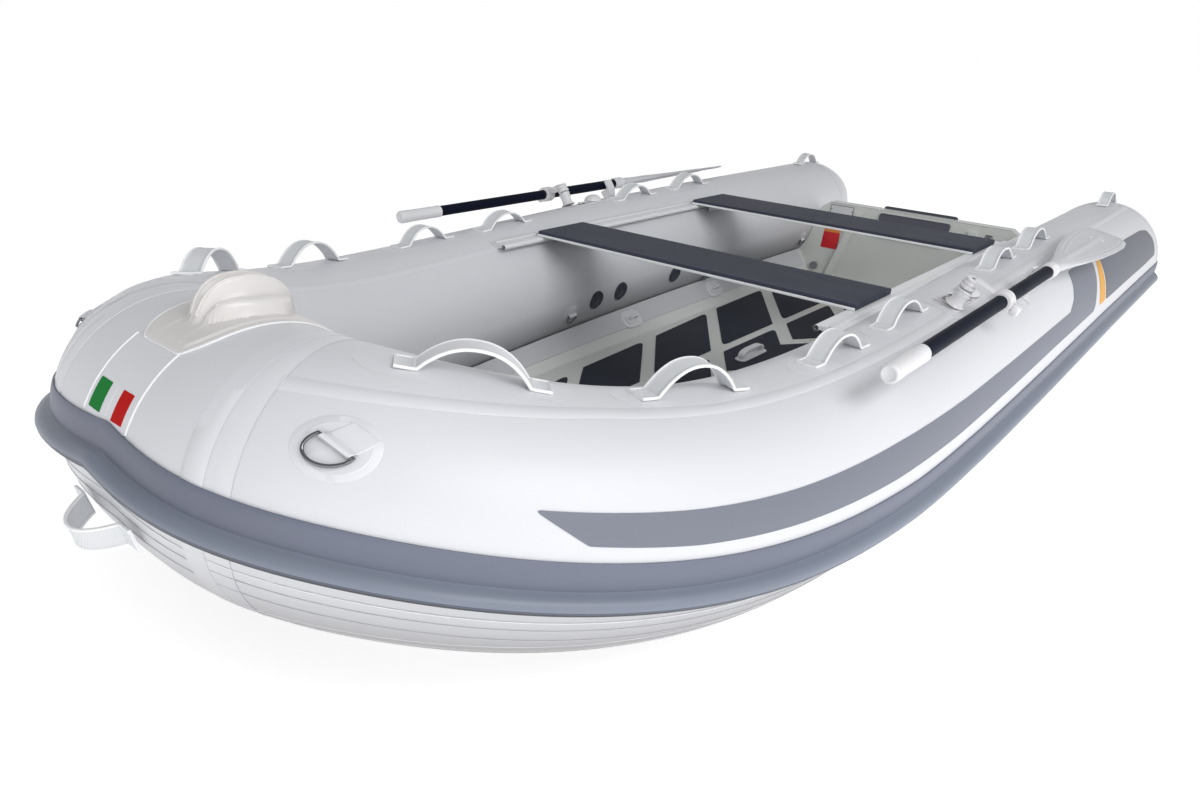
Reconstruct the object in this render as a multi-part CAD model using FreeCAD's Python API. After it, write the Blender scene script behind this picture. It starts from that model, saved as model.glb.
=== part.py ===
# Rigid-hull inflatable boat: moulded V hull with a flat keel guard, three air
# chambers round it, two sliding bench seats, two oars on swivel rowlocks.
# Frame: +X towards the bow, +Y to port, +Z up, millimetres.  z = 0 is the
# underside of the keel guard; x = 0 is midway between cone tip and bow fender.
import FreeCAD, Part
import math
import os
from FreeCAD import Vector as V

os.makedirs("parts", exist_ok=True)

# ------------------------------------------------------------ driving sizes
X_SHIFT = -1725.6          # the sketch frame starts at the stern, this centres it
BEAM_C = 636.2             # tube centre line to boat centre line, aft
TUBE_Z = 310.0             # height of the tube centre line, aft
R_AFT = 202.0              # tube radius aft
R_BOW = 218.5              # tube radius at the nose
# control points of the port centre line, stern to nose (cubic, clamped, uniform)
CP = [(0, 636.2, 310.0), (837, 636.2, 310.0), (1057.7, 636.2, 310.0), (1966.4, 636.2, 296.9),
      (2895.3, 603.0, 260.9), (3332.6, 264.6, 422.9), (3311.6, 106.1, 396.1), (3311.6, 0, 396.1)]
CONE_X0 = 140.0            # aft end of the full tube
CONE_TIP = -130.0          # aft end of the cones
CONE_R = 78.0              # cone end radius
CONE_RISE = 30.0           # cone end sits this much higher
U_SEAM = 0.875             # bow seam ring
GAP = 0.3                  # glue line between the tube and what is bonded on it
# rubbing strake: angles are measured from straight outboard, upwards
STR_TOP0, STR_TOP1 = 2.27, 24.9      # band top: aft value, rise at the bow (degrees)
STR_T = 4.0                # thickness of its flat flanges
STR_BULB = 27.0            # how far the fender bulb stands off the tube
STR_L1, STR_L2, STR_L3 = 45.0, 75.0, 85.0   # band top to bulb, bulb end, lower edge
STR_AFT = 93.0             # aft end of the strake
# hull
KEEL_W = 84.0              # keel guard width
GUARD_T = 12.0             # keel guard thickness
KEEL_UP = 2350.0           # from here on the keel rises to the stem
STEM_X = 3215.0
STEM_Z = 152.0
DECK_Z = 98.0
DECK_T = 12.0
DECK_X1 = 2760.0           # forward edge of the flat deck
HULL_BOW = 3070.0          # from here the hull closes to the stem
COVING = 82.0              # width of the sloping coving between tube and deck
SKIRT_S = 0.42             # how far up the coving the fabric skirt ends
STEP_X, STEP_TOP = 2850.0, 205.0   # bow step, after face and top
TR_X, TR_Z, TR_HALF = 415.5, 398.0, 391.5   # transom top edge, inner face
TR_T = 45.0
TR_RAKE = math.radians(12)
# benches
SEAT_L, SEAT_W, SEAT_T, SEAT_TOP = 1004.0, 203.0, 16.0, 489.0
SEAT_F, SEAT_A = 2104.5, 1298.8       # front edges
RAIL_X0, RAIL_X1 = 1040.0, 2262.0
# oars
OAR_PHI, OAR_R = 59.5, R_AFT + 66.0   # where the stowed shaft lies round the tube
OAR_TUBE_Z = 297.0         # height of the tube centre line along the oars
AX_PHI = 65.0              # tilt of the rowlock pin, from outboard
PIN_PHI = 80.0             # where the pin stands on the tube
OAR_PIN_X = 1960.0
OAR_D = 31.0
GRIP_D = 36.0
OAR_X = (2578.0, 2431.0, 1604.0, 1554.0, 925.0)  # grip end, grip, ferrule, blade root, tip
# grab handles: centre-line parameters of the two feet, angle, port side
HANDLES = [(0.7916, 0.7091, 89.9), (0.6440, 0.5791, 88.6), (0.5286, 0.4817, 89.0), (0.4582, 0.4124, 92.8),
           (0.3184, 0.2664, 93.7), (0.2378, 0.1666, 93.7)]
HANDLE_H = 47.0
HANDLE_W = 38.0
HANDLE_T = 4.0


# ------------------------------------------------------------ centre line
def _bs(cps, t):
    n, k = len(cps), 3
    kn = [0.0] * k + [i / (n - k) for i in range(n - k + 1)] + [1.0] * k
    t = min(max(t, 0.0), 1.0)
    s = k
    while s < n - 1 and t >= kn[s + 1]:
        s += 1
    d = [list(cps[j + s - k]) for j in range(k + 1)]
    for r in range(1, k + 1):
        for j in range(k, r - 1, -1):
            i = j + s - k
            a = (t - kn[i]) / (kn[i + k - r + 1] - kn[i])
            d[j] = [(1 - a) * p + a * q for p, q in zip(d[j - 1], d[j])]
    return V(*d[k])


def centre(u):
    return _bs(CP, u)


def radius(u):
    return R_AFT + (R_BOW - R_AFT) * min(max((u - 0.45) / 0.55, 0.0), 1.0)


class Fr:
    """Cross-section frame on the tube: centre, outboard, up, radius."""

    def __init__(self, c, n, b, t, r, u):
        self.c, self.n, self.b, self.t, self.r, self.u = c, n, b, t, r, u

    def p(self, deg, rr):
        a = math.radians(deg)
        return self.c + self.n * (rr * math.cos(a)) + self.b * (rr * math.sin(a))


def frame(u):
    e = 1e-4
    c = centre(u)
    t = centre(min(u + e, 1.0)) - centre(max(u - e, 0.0))
    if u > 1 - 1e-9:
        t = V(0, -1, 0)
    t.normalize()
    n = (V(0, 0, 1).cross(t)) * -1.0
    n = t.cross(V(0, 0, 1)) * -1.0
    if n.y < 0 and u < 0.8 or n.x < 0 and u >= 0.8:
        n = n * -1.0
    n.normalize()
    b = t.cross(n)
    if b.z < 0:
        b = b * -1.0
    return Fr(c, n, b, t, radius(u), u)


def cone_frame(x):
    s = (CONE_X0 - x) / (CONE_X0 - CONE_TIP)
    r = R_AFT * (1 - (1 - CONE_R / R_AFT) * s ** 1.35)
    return Fr(V(x, BEAM_C, TUBE_Z + CONE_RISE * s), V(0, 1, 0), V(0, 0, 1), V(1, 0, 0), r, 0.0)


def u_at_x(x):
    lo, hi = 0.0, 0.84
    for _ in range(50):
        m = (lo + hi) / 2
        if centre(m).x < x:
            lo = m
        else:
            hi = m
    return (lo + hi) / 2


U_CONE = u_at_x(CONE_X0)


def mirrored(f):
    m = lambda v: V(v.x, -v.y, v.z)
    return Fr(m(f.c), m(f.n), m(f.b), m(f.t), f.r, f.u)


def span(a, b, n):
    return [a + (b - a) * i / (n - 1) for i in range(n)]


PORT_FR = [frame(u) for u in span(U_CONE, U_SEAM, 27)]
CONE_FR = [cone_frame(x) for x in (CONE_TIP, CONE_TIP + 45, CONE_TIP + 100, CONE_TIP + 160, CONE_TIP + 220, CONE_X0 - GAP)]
_half = [frame(u) for u in span(U_SEAM, 1.0, 9)]
BOW_FR = _half + [mirrored(f) for f in _half[-2::-1]]


# ------------------------------------------------------------ shape helpers
def arc(a, m, b):
    return Part.Arc(a, m, b).toShape()


def line(a, b):
    return Part.LineSegment(a, b).toShape()


def ring(f, r):
    es = []
    for k in range(4):
        a = 90 * k
        es.append(arc(f.p(a, r), f.p(a + 45, r), f.p(a + 90, r)))
    return Part.Wire(es)


def loft(ws, ruled=False):
    return Part.makeLoft(ws, True, ruled)


def poly(pts):
    return Part.Wire([line(pts[i], pts[(i + 1) % len(pts)]) for i in range(len(pts))])


def prism(pts, vec):
    return Part.Face(poly(pts)).extrude(vec)


def box(x0, x1, y0, y1, z0, z1):
    return Part.makeBox(x1 - x0, y1 - y0, z1 - z0, V(x0, y0, z0))


def flip(s):
    return s.mirror(V(0, 0, 0), V(0, 1, 0))


def cyl(p, axis, r, h):
    return Part.makeCylinder(r, h, p, axis)


def one(s):
    """Largest single solid of a result."""
    if s.ShapeType == "Solid":
        return s
    return max(s.Solids, key=lambda q: q.Volume)


MADE = {}


def save(name, shapes):
    if not isinstance(shapes, (list, tuple)):
        shapes = [shapes]
    sol = []
    for s in shapes:
        sol += s.Solids if s.ShapeType != "Solid" else [s]
    out = sol[0] if len(sol) == 1 else Part.makeCompound(sol)
    out = out.copy()
    out.translate(V(X_SHIFT, 0, 0))
    MADE[name] = out
    out.exportStep("parts/%s.step" % name)
    b = out.BoundBox
    print("%-24s solids %2d vol %9.1f cm3 valid %s x %.0f..%.0f y %.0f..%.0f z %.1f..%.1f" % (
        name, len(sol), sum(q.Volume for q in sol) / 1000, out.isValid(),
        b.XMin, b.XMax, b.YMin, b.YMax, b.ZMin, b.ZMax))


# ------------------------------------------------------------ air chambers
tube_p = loft([ring(f, f.r) for f in PORT_FR])
save("tube_port", tube_p)
save("tube_starboard", flip(tube_p))
save("tube_bow", loft([ring(f, f.r) for f in BOW_FR]))
cone_p = loft([ring(f, f.r) for f in CONE_FR])
save("cone_port", cone_p)
save("cone_starboard", flip(cone_p))
# moulded end cap on each cone
cap = cyl(V(CONE_TIP - 8, BEAM_C, TUBE_Z + CONE_RISE), V(1, 0, 0), CONE_R - 6, 8.0)
save("cone_caps", [cap, flip(cap)])


# ------------------------------------------------------------ rubbing strake
def strake_top(u):
    return STR_TOP0 + STR_TOP1 * min(max((u - 0.5) / 0.5, 0.0), 1.0)


def strake_wire(f):
    q = 180 / math.pi / (f.r + 3)
    a0 = strake_top(f.u)
    a1, a2, a3 = a0 - STR_L1 * q, a0 - STR_L2 * q, a0 - STR_L3 * q
    ri, ro, rb = f.r + GAP, f.r + STR_T, f.r + STR_BULB
    am = (a1 + a2) / 2
    es = [arc(f.p(a0, ri), f.p((a0 + a3) / 2, ri), f.p(a3, ri)),
          line(f.p(a3, ri), f.p(a3, ro)),
          arc(f.p(a3, ro), f.p((a3 + a2) / 2, ro), f.p(a2, ro)),
          arc(f.p(a2, ro), f.p(am, rb), f.p(a1, ro)),
          arc(f.p(a1, ro), f.p((a1 + a0) / 2, ro), f.p(a0, ro)),
          line(f.p(a0, ro), f.p(a0, ri))]
    return Part.Wire(es)


# the stretch on the cone and the stretch on the tube share their end face
aft = [cone_frame(x) for x in (STR_AFT, (STR_AFT + CONE_X0) / 2)] + [PORT_FR[0]]
strake_p = one(loft([strake_wire(f) for f in PORT_FR]).fuse(loft([strake_wire(f) for f in aft], True)))
save("rub_strake_port", strake_p)
save("rub_strake_starboard", flip(strake_p))
save("rub_strake_bow", loft([strake_wire(f) for f in BOW_FR]))


# ------------------------------------------------------------ hull, keel guard, deck
def tr_x(z):
    return TR_X + (TR_Z - z) * math.tan(TR_RAKE)


def skin_point(x, deg, off):
    """(y, z) of the port tube's skin, offset off, at this angle and this x."""
    lo, hi = 0.0, 1.0
    for _ in range(60):
        m = (lo + hi) / 2
        f = frame(m)
        if f.p(deg, f.r + off).x < x:
            lo = m
        else:
            hi = m
    f = frame((lo + hi) / 2)
    q = f.p(deg, f.r + off)
    return q.y, q.z


def smooth(a, b, x):
    t = min(max((x - a) / (b - a), 0.0), 1.0)
    return t * t * (3 - 2 * t)


def keel_z(x):
    if x <= KEEL_UP:
        return GUARD_T
    return GUARD_T + (STEM_Z - GUARD_T) * ((x - KEEL_UP) / (STEM_X - KEEL_UP)) ** 2.0


def keel_half(x):
    if x <= KEEL_UP:
        return KEEL_W / 2
    return KEEL_W / 2 - (KEEL_W / 2 - 14) * (x - KEEL_UP) / (STEM_X - KEEL_UP)


def top_z(x):
    """Underside of the deck, swept up to the stem ahead of it."""
    return DECK_Z - DECK_T + (174.0 - DECK_Z + DECK_T) * smooth(DECK_X1, HULL_BOW, x)


def hull_half(x):
    """Keel, chine, three points along the tube, edge of the deck."""
    if x <= HULL_BOW:
        a, m, b = [skin_point(x, d, 2.5) for d in (-118.0, -130.0, -142.0)]
        kz, kh = keel_z(x), keel_half(x)
        rise = math.tan(math.radians(8.5 + 16.5 * smooth(KEEL_UP - 300, HULL_BOW, x)))
        yc = max(a[0] - 62.0, kh + 12.0)
        c = (yc, min(kz + (yc - kh) * rise, a[1] - 12.0))
        d = (max(b[0] - COVING, 70.0), top_z(x))
        return [(kh, kz), c, a, m, b, d]
    w = (x - HULL_BOW) / (STEM_X - HULL_BOW)
    p = hull_half(HULL_BOW)
    e = [(14.0, STEM_Z), (60.0, 158.0), (75.0, 166.0), (70.0, 168.0), (60.0, 170.0), (50.0, 171.5)]
    k = w * w
    out = [(keel_half(x), keel_z(x))]
    for i in range(1, 6):
        out.append((p[i][0] + (e[i][0] - p[i][0]) * k, p[i][1] + (e[i][1] - p[i][1]) * w))
    out[1] = (out[1][0], max(out[1][1], out[0][1] + 2.0))
    return out


def hull_section(x, raked=False):
    pts = hull_half(x)
    xs = (lambda z: tr_x(z)) if raked else (lambda z: x)
    half = [V(xs(z), y, z) for y, z in pts]
    other = [V(p.x, -p.y, p.z) for p in reversed(half)]
    return poly(half + other)


SKIRT_X = (492.0, 2800.0)
HX = sorted(set(span(520, 2000, 9) + span(2100, KEEL_UP, 3) + span(2420, HULL_BOW, 12) + span(HULL_BOW + 25, STEM_X, 5)
                + [DECK_X1, SKIRT_X[1], STEP_X, 3110.0]))
hull = loft([hull_section(470.0, True)] + [hull_section(x) for x in HX], True)
save("hull_bottom", hull)

guard = box(tr_x(0) + 0.3, KEEL_UP, -KEEL_W / 2, KEEL_W / 2, 0, GUARD_T - GAP)
save("keel_guard", guard)


def stem_section(x):
    zk, kh = keel_z(x), keel_half(x)
    t = GUARD_T - 2.0 * min(1.0, (x - KEEL_UP) / 300.0)
    return poly([V(x, -kh, zk - GAP), V(x, kh, zk - GAP), V(x, kh, zk - t), V(x, -kh, zk - t)])


save("stem_guard", loft([stem_section(x) for x in (KEEL_UP + 0.5, 2450, 2580, 2720, 2860, 3000, 3100, 3205)]))


# inner hull face at height z, taken from the half sections
def inner_half(x, z):
    h = hull_half(x)
    (yb, zb), (yd, zd) = h[4], h[5]
    return yd + (yb - yd) * (z - zd) / (zb - zd)


DX = [tr_x(DECK_Z - DECK_T) + GAP] + [x for x in HX if x <= DECK_X1]
outline = [V(x, hull_half(max(x, 520))[5][0] - 0.5, DECK_Z) for x in DX]
ow = poly(outline + [V(p.x, -p.y, p.z) for p in reversed(outline)])
deck = Part.Face(ow).extrude(V(0, 0, 2 * GAP - DECK_T))
deck.translate(V(0, 0, 0.3))
save("floor_deck", deck)

big = loft([ring(f, f.r + GAP) for f in PORT_FR])
bow_big = loft([ring(f, f.r + GAP) for f in BOW_FR])


# moulded step at the bow, its after face leans forward
def step_section(x, top):
    h = hull_half(x)
    z0 = h[5][1] + 0.6
    z1 = max(h[4][1] + 2.0, z0 + 4.0)
    pts = [(h[5][0] - 5.0, z0), (h[4][0] - 4.0, z1)]
    if top > z1 + 4:
        for z in (0.5 * (z1 + top), top):
            pts.append((level_y(x, z), z))
    else:
        pts += [(h[4][0] - 4.0, z1 + 1.0), (h[4][0] - 5.0, z1 + 2.0)]
    half = [V(x, y, z) for y, z in pts]
    return poly(half + [V(p.x, -p.y, p.z) for p in reversed(half)])


def level_y(x, z):
    """Inboard side of the port tube at this x and height, 2 mm clear."""
    best = None
    for k in range(33):
        y, zz = skin_point(x, -180.0 + 1.5 * k, 2.0)
        if best is None or abs(zz - z) < best[0]:
            best = (abs(zz - z), y)
    return best[1]


step = loft([step_section(x, STEP_TOP) for x in HX if STEP_X <= x <= 3110], True)
step = one(step).cut(hull.translated(V(0, 0, 0.4)))
save("bow_step", one(step))

# fabric skirt from each tube down on the coving
SKX = [SKIRT_X[0]] + [x for x in HX if x <= SKIRT_X[1]]


def skirt_section(x):
    h = hull_half(x)
    (yb, zb), (yd, zd) = h[4], h[5]
    k = math.hypot(yb - yd, zb - zd)
    ny, nz = (zb - zd) / k, -(yb - yd) / k
    if ny > 0:
        ny, nz = -ny, -nz
    at2 = lambda s, o: (yd + (yb - yd) * s + ny * o, zd + (zb - zd) * s + nz * o)
    pts = [at2(SKIRT_S, 0.4), at2(0.985, 0.4), at2(0.985, 3.2), at2(SKIRT_S, 3.2)]
    return poly([V(x, y, z) for y, z in pts])


skirt = loft([skirt_section(x) for x in SKX], True)
save("inner_skirt_port", one(skirt))
save("inner_skirt_starboard", flip(one(skirt)))


# ------------------------------------------------------------ transom and its fittings
def transom_outline():
    hs = hull_half(470.0)
    pts = [(KEEL_W / 2, GUARD_T), hs[1], hs[2]]
    r = R_AFT + 2.0
    z0 = hs[2][1]
    for z in (0.8 * z0 + 30, 165, 190, 220, 255, 290, 315, 338):
        pts.append((BEAM_C - math.sqrt(r * r - (z - TUBE_Z) ** 2), z))
    pts += [(TR_HALF + 18, 376), (TR_HALF - 14, TR_Z)]
    return pts


tp = transom_outline()
tpts = [V(tr_x(z), y, z) for y, z in tp] + [V(tr_x(z), -y, z) for y, z in reversed(tp)]
transom = prism(tpts, V(-TR_T, 0, 0))
drain_ax = V(-math.cos(TR_RAKE), 0, math.sin(TR_RAKE))
DRAIN_Y, DRAIN_Z = -385.0, 128.0
drain = V(tr_x(DRAIN_Z), DRAIN_Y, DRAIN_Z)
transom = transom.cut(cyl(drain + V(20, 0, 0), V(-1, 0, 0), 12.0, 120))
save("transom", one(transom))

# leaning pillars on the inner face
pill = []
for sg in (1, -1):
    lo = [V(tr_x(DECK_Z + 0.5) + dx, sg * y, DECK_Z + 0.5) for dx, y in ((GAP, 287), (34, 292), (34, 320), (GAP, 325))]
    hi = [V(tr_x(372) + dx, sg * y, 372) for dx, y in ((GAP, 218), (15, 221), (15, 253), (GAP, 256))]
    pill.append(loft([poly(lo), poly(hi)], True))
save("transom_pillars", pill)


def on_transom(z0, z1, y0, y1, t, inner=True, r=0):
    xo = (lambda z: tr_x(z) + GAP) if inner else (lambda z: tr_x(z) - TR_T - GAP - t)
    pts = [V(xo(z), y0, z) for z in (z0, z1)]
    pts = [V(xo(z0), y0, z0), V(xo(z0), y1, z0), V(xo(z1), y1, z1), V(xo(z1), y0, z1)]
    return prism(pts, V(t, 0, 0))


save("motor_pad_inner", on_transom(292, 386, -150, 150, 8))
save("motor_pad_outer", on_transom(205, 409, -155, 155, 12, False))
save("capacity_plate", on_transom(352, 390, -371.0, -264.0, 1.5))
flange_x = tr_x(DRAIN_Z - 20) + 1.0
plug = cyl(V(flange_x, DRAIN_Y, DRAIN_Z), V(-1, 0, 0), 11.6, 30).fuse(cyl(V(flange_x + 9, DRAIN_Y, DRAIN_Z), V(-1, 0, 0), 17, 9))
save("drain_plug", one(plug))
# tow eyes on the outer face
eyes = []
for y in (290, -290):
    x0 = tr_x(300) - TR_T
    xs = tr_x(268) - TR_T - GAP
    pl = prism([V(tr_x(z) - TR_T - GAP, y - 16, z) for z in (265, 335)] + [V(tr_x(z) - TR_T - GAP - 4, y - 16, z) for z in (335, 265)], V(0, 32, 0))
    tor = Part.makeTorus(20, 4.0, V(x0 - 16, y, 300), V(0, 1, 0))
    wall = prism([V(tr_x(z) - TR_T - GAP, y - 60, z) for z in (200, 400)] + [V(tr_x(z) + 40, y - 60, z) for z in (400, 200)], V(0, 120, 0))
    eyes.append(one(pl.fuse(tor.cut(wall))))
save("stern_tow_eyes", eyes)


# ------------------------------------------------------------ seat rails and benches
# shelf rail: a bead with a hole along its inboard edge, the shelf runs back to the tube
RAIL_TOP = SEAT_TOP - SEAT_T - 0.5
rail = cyl(V(RAIL_X0, 484.5, RAIL_TOP - 7), V(1, 0, 0), 7.0, RAIL_X1 - RAIL_X0)
rail = rail.fuse(prism([V(RAIL_X0, 484.5, RAIL_TOP), V(RAIL_X0, 484.5, RAIL_TOP - 8), V(RAIL_X0, 505, RAIL_TOP - 10),
                        V(RAIL_X0, 522, RAIL_TOP - 34), V(RAIL_X0, 545, RAIL_TOP - 34), V(RAIL_X0, 545, RAIL_TOP)], V(RAIL_X1 - RAIL_X0, 0, 0)))
rail = one(rail.cut(cyl(V(RAIL_X0 - 5, 484.5, RAIL_TOP - 7), V(1, 0, 0), 3.2, RAIL_X1 - RAIL_X0 + 10)))
rail = one(rail.cut(big))
save("seat_rail_port", rail)
save("seat_rail_starboard", flip(rail))


def bench(xf):
    b = box(xf - SEAT_W, xf, -SEAT_L / 2, SEAT_L / 2, SEAT_TOP - SEAT_T, SEAT_TOP)
    es = [e for e in b.Edges if abs(e.Length - SEAT_L) < 1]
    b = b.makeFillet(5.0, es)
    return b


def brackets(xf):
    out = []
    for s in (1, -1):
        w = box(xf - SEAT_W / 2 - 35, xf - SEAT_W / 2 + 35, 444, 474.5, SEAT_TOP - SEAT_T - 5, SEAT_TOP - SEAT_T)
        d = box(xf - SEAT_W / 2 - 35, xf - SEAT_W / 2 + 35, 470.5, 474.5, SEAT_TOP - SEAT_T - 30, SEAT_TOP - SEAT_T - 5)
        bolt = cyl(V(xf - SEAT_W / 2, 456, SEAT_TOP - SEAT_T - 12), V(0, 0, 1), 6.5, 8)
        b = one(w.fuse(d).fuse(bolt))
        out.append(b if s > 0 else flip(b))
    return out


save("seat_forward", bench(SEAT_F))
save("seat_forward_brackets", brackets(SEAT_F))
save("seat_aft", bench(SEAT_A))
save("seat_aft_brackets", brackets(SEAT_A))


# ------------------------------------------------------------ oars
tc = V(0, BEAM_C, OAR_TUBE_Z)
ray = lambda deg: V(0, math.cos(math.radians(deg)), math.sin(math.radians(deg)))
AXN = ray(AX_PHI)                       # rowlock pin direction
AXT = V(0, AXN.z, -AXN.y)               # outboard and down, square to it
OC = tc + ray(OAR_PHI) * OAR_R          # shaft centre line
n_sh = (OC - tc).dot(AXN)
t_sh = (OC - tc).dot(AXT)
PIN_S = tc + ray(PIN_PHI) * R_AFT       # pin axis leaves the tube here
n_pin = (PIN_S - tc).dot(AXN)
t_pin = (PIN_S - tc).dot(AXT)


STBD_DX, STBD_ROLL = -190.0, 3.5   # starboard oar set: further aft, further round the tube


def stbd(s):
    """Mirrored to starboard, rolled outboard round the tube and moved aft."""
    if isinstance(s, (list, tuple)):
        return [stbd(t) for t in s]
    o = flip(s).copy()
    o.rotate(V(0, -tc.y, tc.z), V(1, 0, 0), STBD_ROLL)
    o.translate(V(STBD_DX, 0, 0))
    return o


def at(x, n, t):
    return V(x, 0, 0) + tc + AXN * n + AXT * t


gx, g0, fx, bx, tx = OAR_X
shaft = cyl(V(bx, OC.y, OC.z), V(1, 0, 0), OAR_D / 2, g0 - bx)
save("oar_shaft_port", shaft)
save("oar_shaft_starboard", stbd(shaft))
grip = cyl(V(g0, OC.y, OC.z), V(1, 0, 0), GRIP_D / 2, gx - g0)
grip = grip.makeFillet(2.0, [e for e in grip.Edges if e.BoundBox.XLength < 0.01])
save("oar_grip_port", grip)
save("oar_grip_starboard", stbd(grip))
fer = cyl(V(bx, OC.y, OC.z), V(1, 0, 0), 20.0, fx - bx).cut(cyl(V(bx - 1, OC.y, OC.z), V(1, 0, 0), OAR_D / 2 + 0.1, fx - bx + 2))
save("oar_ferrule_port", fer)
save("oar_ferrule_starboard", stbd(fer))
# blade: lofted lens sections, its flat faces the tube
BN, BT = ray(78.0), V(0, ray(78.0).z, -ray(78.0).y)


def blade_section(x, w, t):
    c = V(x, OC.y, OC.z)
    h = w / 2
    a, b = c - BT * h, c + BT * h
    return Part.Wire([arc(a, c + BN * (t / 2), b), arc(b, c - BN * (t / 2), a)])


bl = loft([blade_section(x, w, t) for x, w, t in (
    (bx - 0.2, 31, 30.5), (1510, 36, 28), (1440, 62, 22), (1355, 98, 16), (1250, 128, 12), (1130, 144, 9), (1030, 146, 7), (965, 132, 6), (tx, 96, 5))])
save("oar_blade_port", bl)
save("oar_blade_starboard", stbd(bl))
# swivel: collar round the shaft, arm to the pin head, pin
P0 = at(OAR_PIN_X, 0, t_pin)
BOSS_TOP = n_sh - OAR_D / 2 - 6.5
col = cyl(V(OAR_PIN_X - 17, OC.y, OC.z), V(1, 0, 0), 24.0, 34)
arm = prism([at(OAR_PIN_X - 13, n_sh - 9, t_pin), at(OAR_PIN_X + 13, n_sh - 9, t_pin),
             at(OAR_PIN_X + 13, n_sh - 9, t_sh), at(OAR_PIN_X - 13, n_sh - 9, t_sh)], AXN * 18)
head = cyl(at(OAR_PIN_X, BOSS_TOP + 0.5, t_pin), AXN, 21.0, n_sh + 12 - BOSS_TOP)
pin = cyl(at(OAR_PIN_X, BOSS_TOP - 28, t_pin), AXN, 6.0, 40)
sw = col.fuse(arm).fuse(head).fuse(pin)
sw = one(sw.cut(cyl(V(OAR_PIN_X - 60, OC.y, OC.z), V(1, 0, 0), OAR_D / 2 + 0.1, 120)))
save("oar_swivel_port", sw)
save("oar_swivel_starboard", stbd(sw))
# base: plate bonded on the tube with the socket boss
fb = frame(u_at_x(1850.0))


def plate_on_tube(x0, x1, deg0, deg1, t):
    c0, r0 = tc, R_AFT + GAP
    am = (deg0 + deg1) / 2
    w = Part.Wire([arc(V(x0, 0, 0) + tc + ray(deg0) * r0, V(x0, 0, 0) + tc + ray(am) * r0, V(x0, 0, 0) + tc + ray(deg1) * r0),
                   line(V(x0, 0, 0) + tc + ray(deg1) * r0, V(x0, 0, 0) + tc + ray(deg1) * (r0 + t)),
                   arc(V(x0, 0, 0) + tc + ray(deg1) * (r0 + t), V(x0, 0, 0) + tc + ray(am) * (r0 + t), V(x0, 0, 0) + tc + ray(deg0) * (r0 + t)),
                   line(V(x0, 0, 0) + tc + ray(deg0) * (r0 + t), V(x0, 0, 0) + tc + ray(deg0) * r0)])
    return Part.Face(w).extrude(V(x1 - x0, 0, 0))


pl = plate_on_tube(1742, 1986, 73, 92, 6)
boss = cyl(at(OAR_PIN_X, n_pin + 3, t_pin), AXN, 20.0, BOSS_TOP - n_pin - 3)
core = cyl(V(1500, tc.y, tc.z), V(1, 0, 0), R_AFT + GAP + 1.0, 700)
boss = boss.cut(core)
base = pl.fuse(boss)
base = one(base.cut(cyl(at(OAR_PIN_X, BOSS_TOP - 32, t_pin), AXN, 6.06, 60)))
base = one(base.cut(big))
save("rowlock_base_port", base)
save("rowlock_base_starboard", one(stbd(base).cut(flip(big))))
# rest under the stowed shaft, open outboard
CX0, CX1 = 1638.0, 1674.0
er, et = ray(OAR_PHI), V(0, ray(OAR_PHI).z, -ray(OAR_PHI).y)
q = lambda r, t: V(CX0, 0, 0) + tc + er * r + et * t
top = OAR_R - OAR_D / 2 - 5
clip = prism([q(R_AFT - 8, -30), q(R_AFT - 8, 30), q(R_AFT + 6, 32), q(R_AFT + 6, 8), q(top, 12), q(top, -20.5), q(OAR_R + 8, -21),
              q(OAR_R + 8, -27), q(top - 8, -27), q(R_AFT + 6, -10), q(R_AFT + 6, -32)], V(CX1 - CX0, 0, 0))
clip = one(clip.cut(big))
save("oar_rest_port", clip)
save("oar_rest_starboard", one(stbd(clip).cut(flip(big))))


# ------------------------------------------------------------ grab handles
def handle(pa, pb, up, lift, h=HANDLE_H, w=HANDLE_W, tab=30.0):
    """Webbing loop between two feet; pa, pb are the outer ends of its two tabs."""
    ax = pa - pb
    ln = ax.Length
    ax.normalize()
    up = up - ax * up.dot(ax)
    up.normalize()
    wd = ax.cross(up)
    mid = (pa + pb) * 0.5 + up * lift - wd * (w / 2)
    q2 = lambda s, z: mid + ax * s + up * z
    L, a, t = ln / 2, ln / 2 - tab, HANDLE_T

    def arch(aa, hh, n=13):
        pts = []
        for i in range(n):
            th = math.pi * i / (n - 1)
            cx, sx = math.cos(th), math.sin(th)
            pts.append((aa * math.copysign(abs(cx) ** 0.86, cx), hh * sx ** 0.92))
        return pts

    inner = [q2(s, z) for s, z in arch(a - t, h - t)]
    outer = [q2(s, t + z) for s, z in arch(a + 1.0, h - t)]
    ci, co = Part.BSplineCurve(), Part.BSplineCurve()
    ci.interpolate(inner)
    co.interpolate(outer)
    e = [ci.toShape(), line(inner[-1], q2(-L, 0)), line(q2(-L, 0), q2(-L, t)), line(q2(-L, t), outer[-1]),
         co.toShape(), line(outer[0], q2(L, t)), line(q2(L, t), q2(L, 0)), line(q2(L, 0), inner[0])]
    f = Part.Face(Part.Wire(Part.__sortEdges__(e)))
    return f.extrude(wd * w)


def skin_frame(x):
    return cone_frame(x) if x < CONE_X0 else frame(u_at_x(x))


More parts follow.
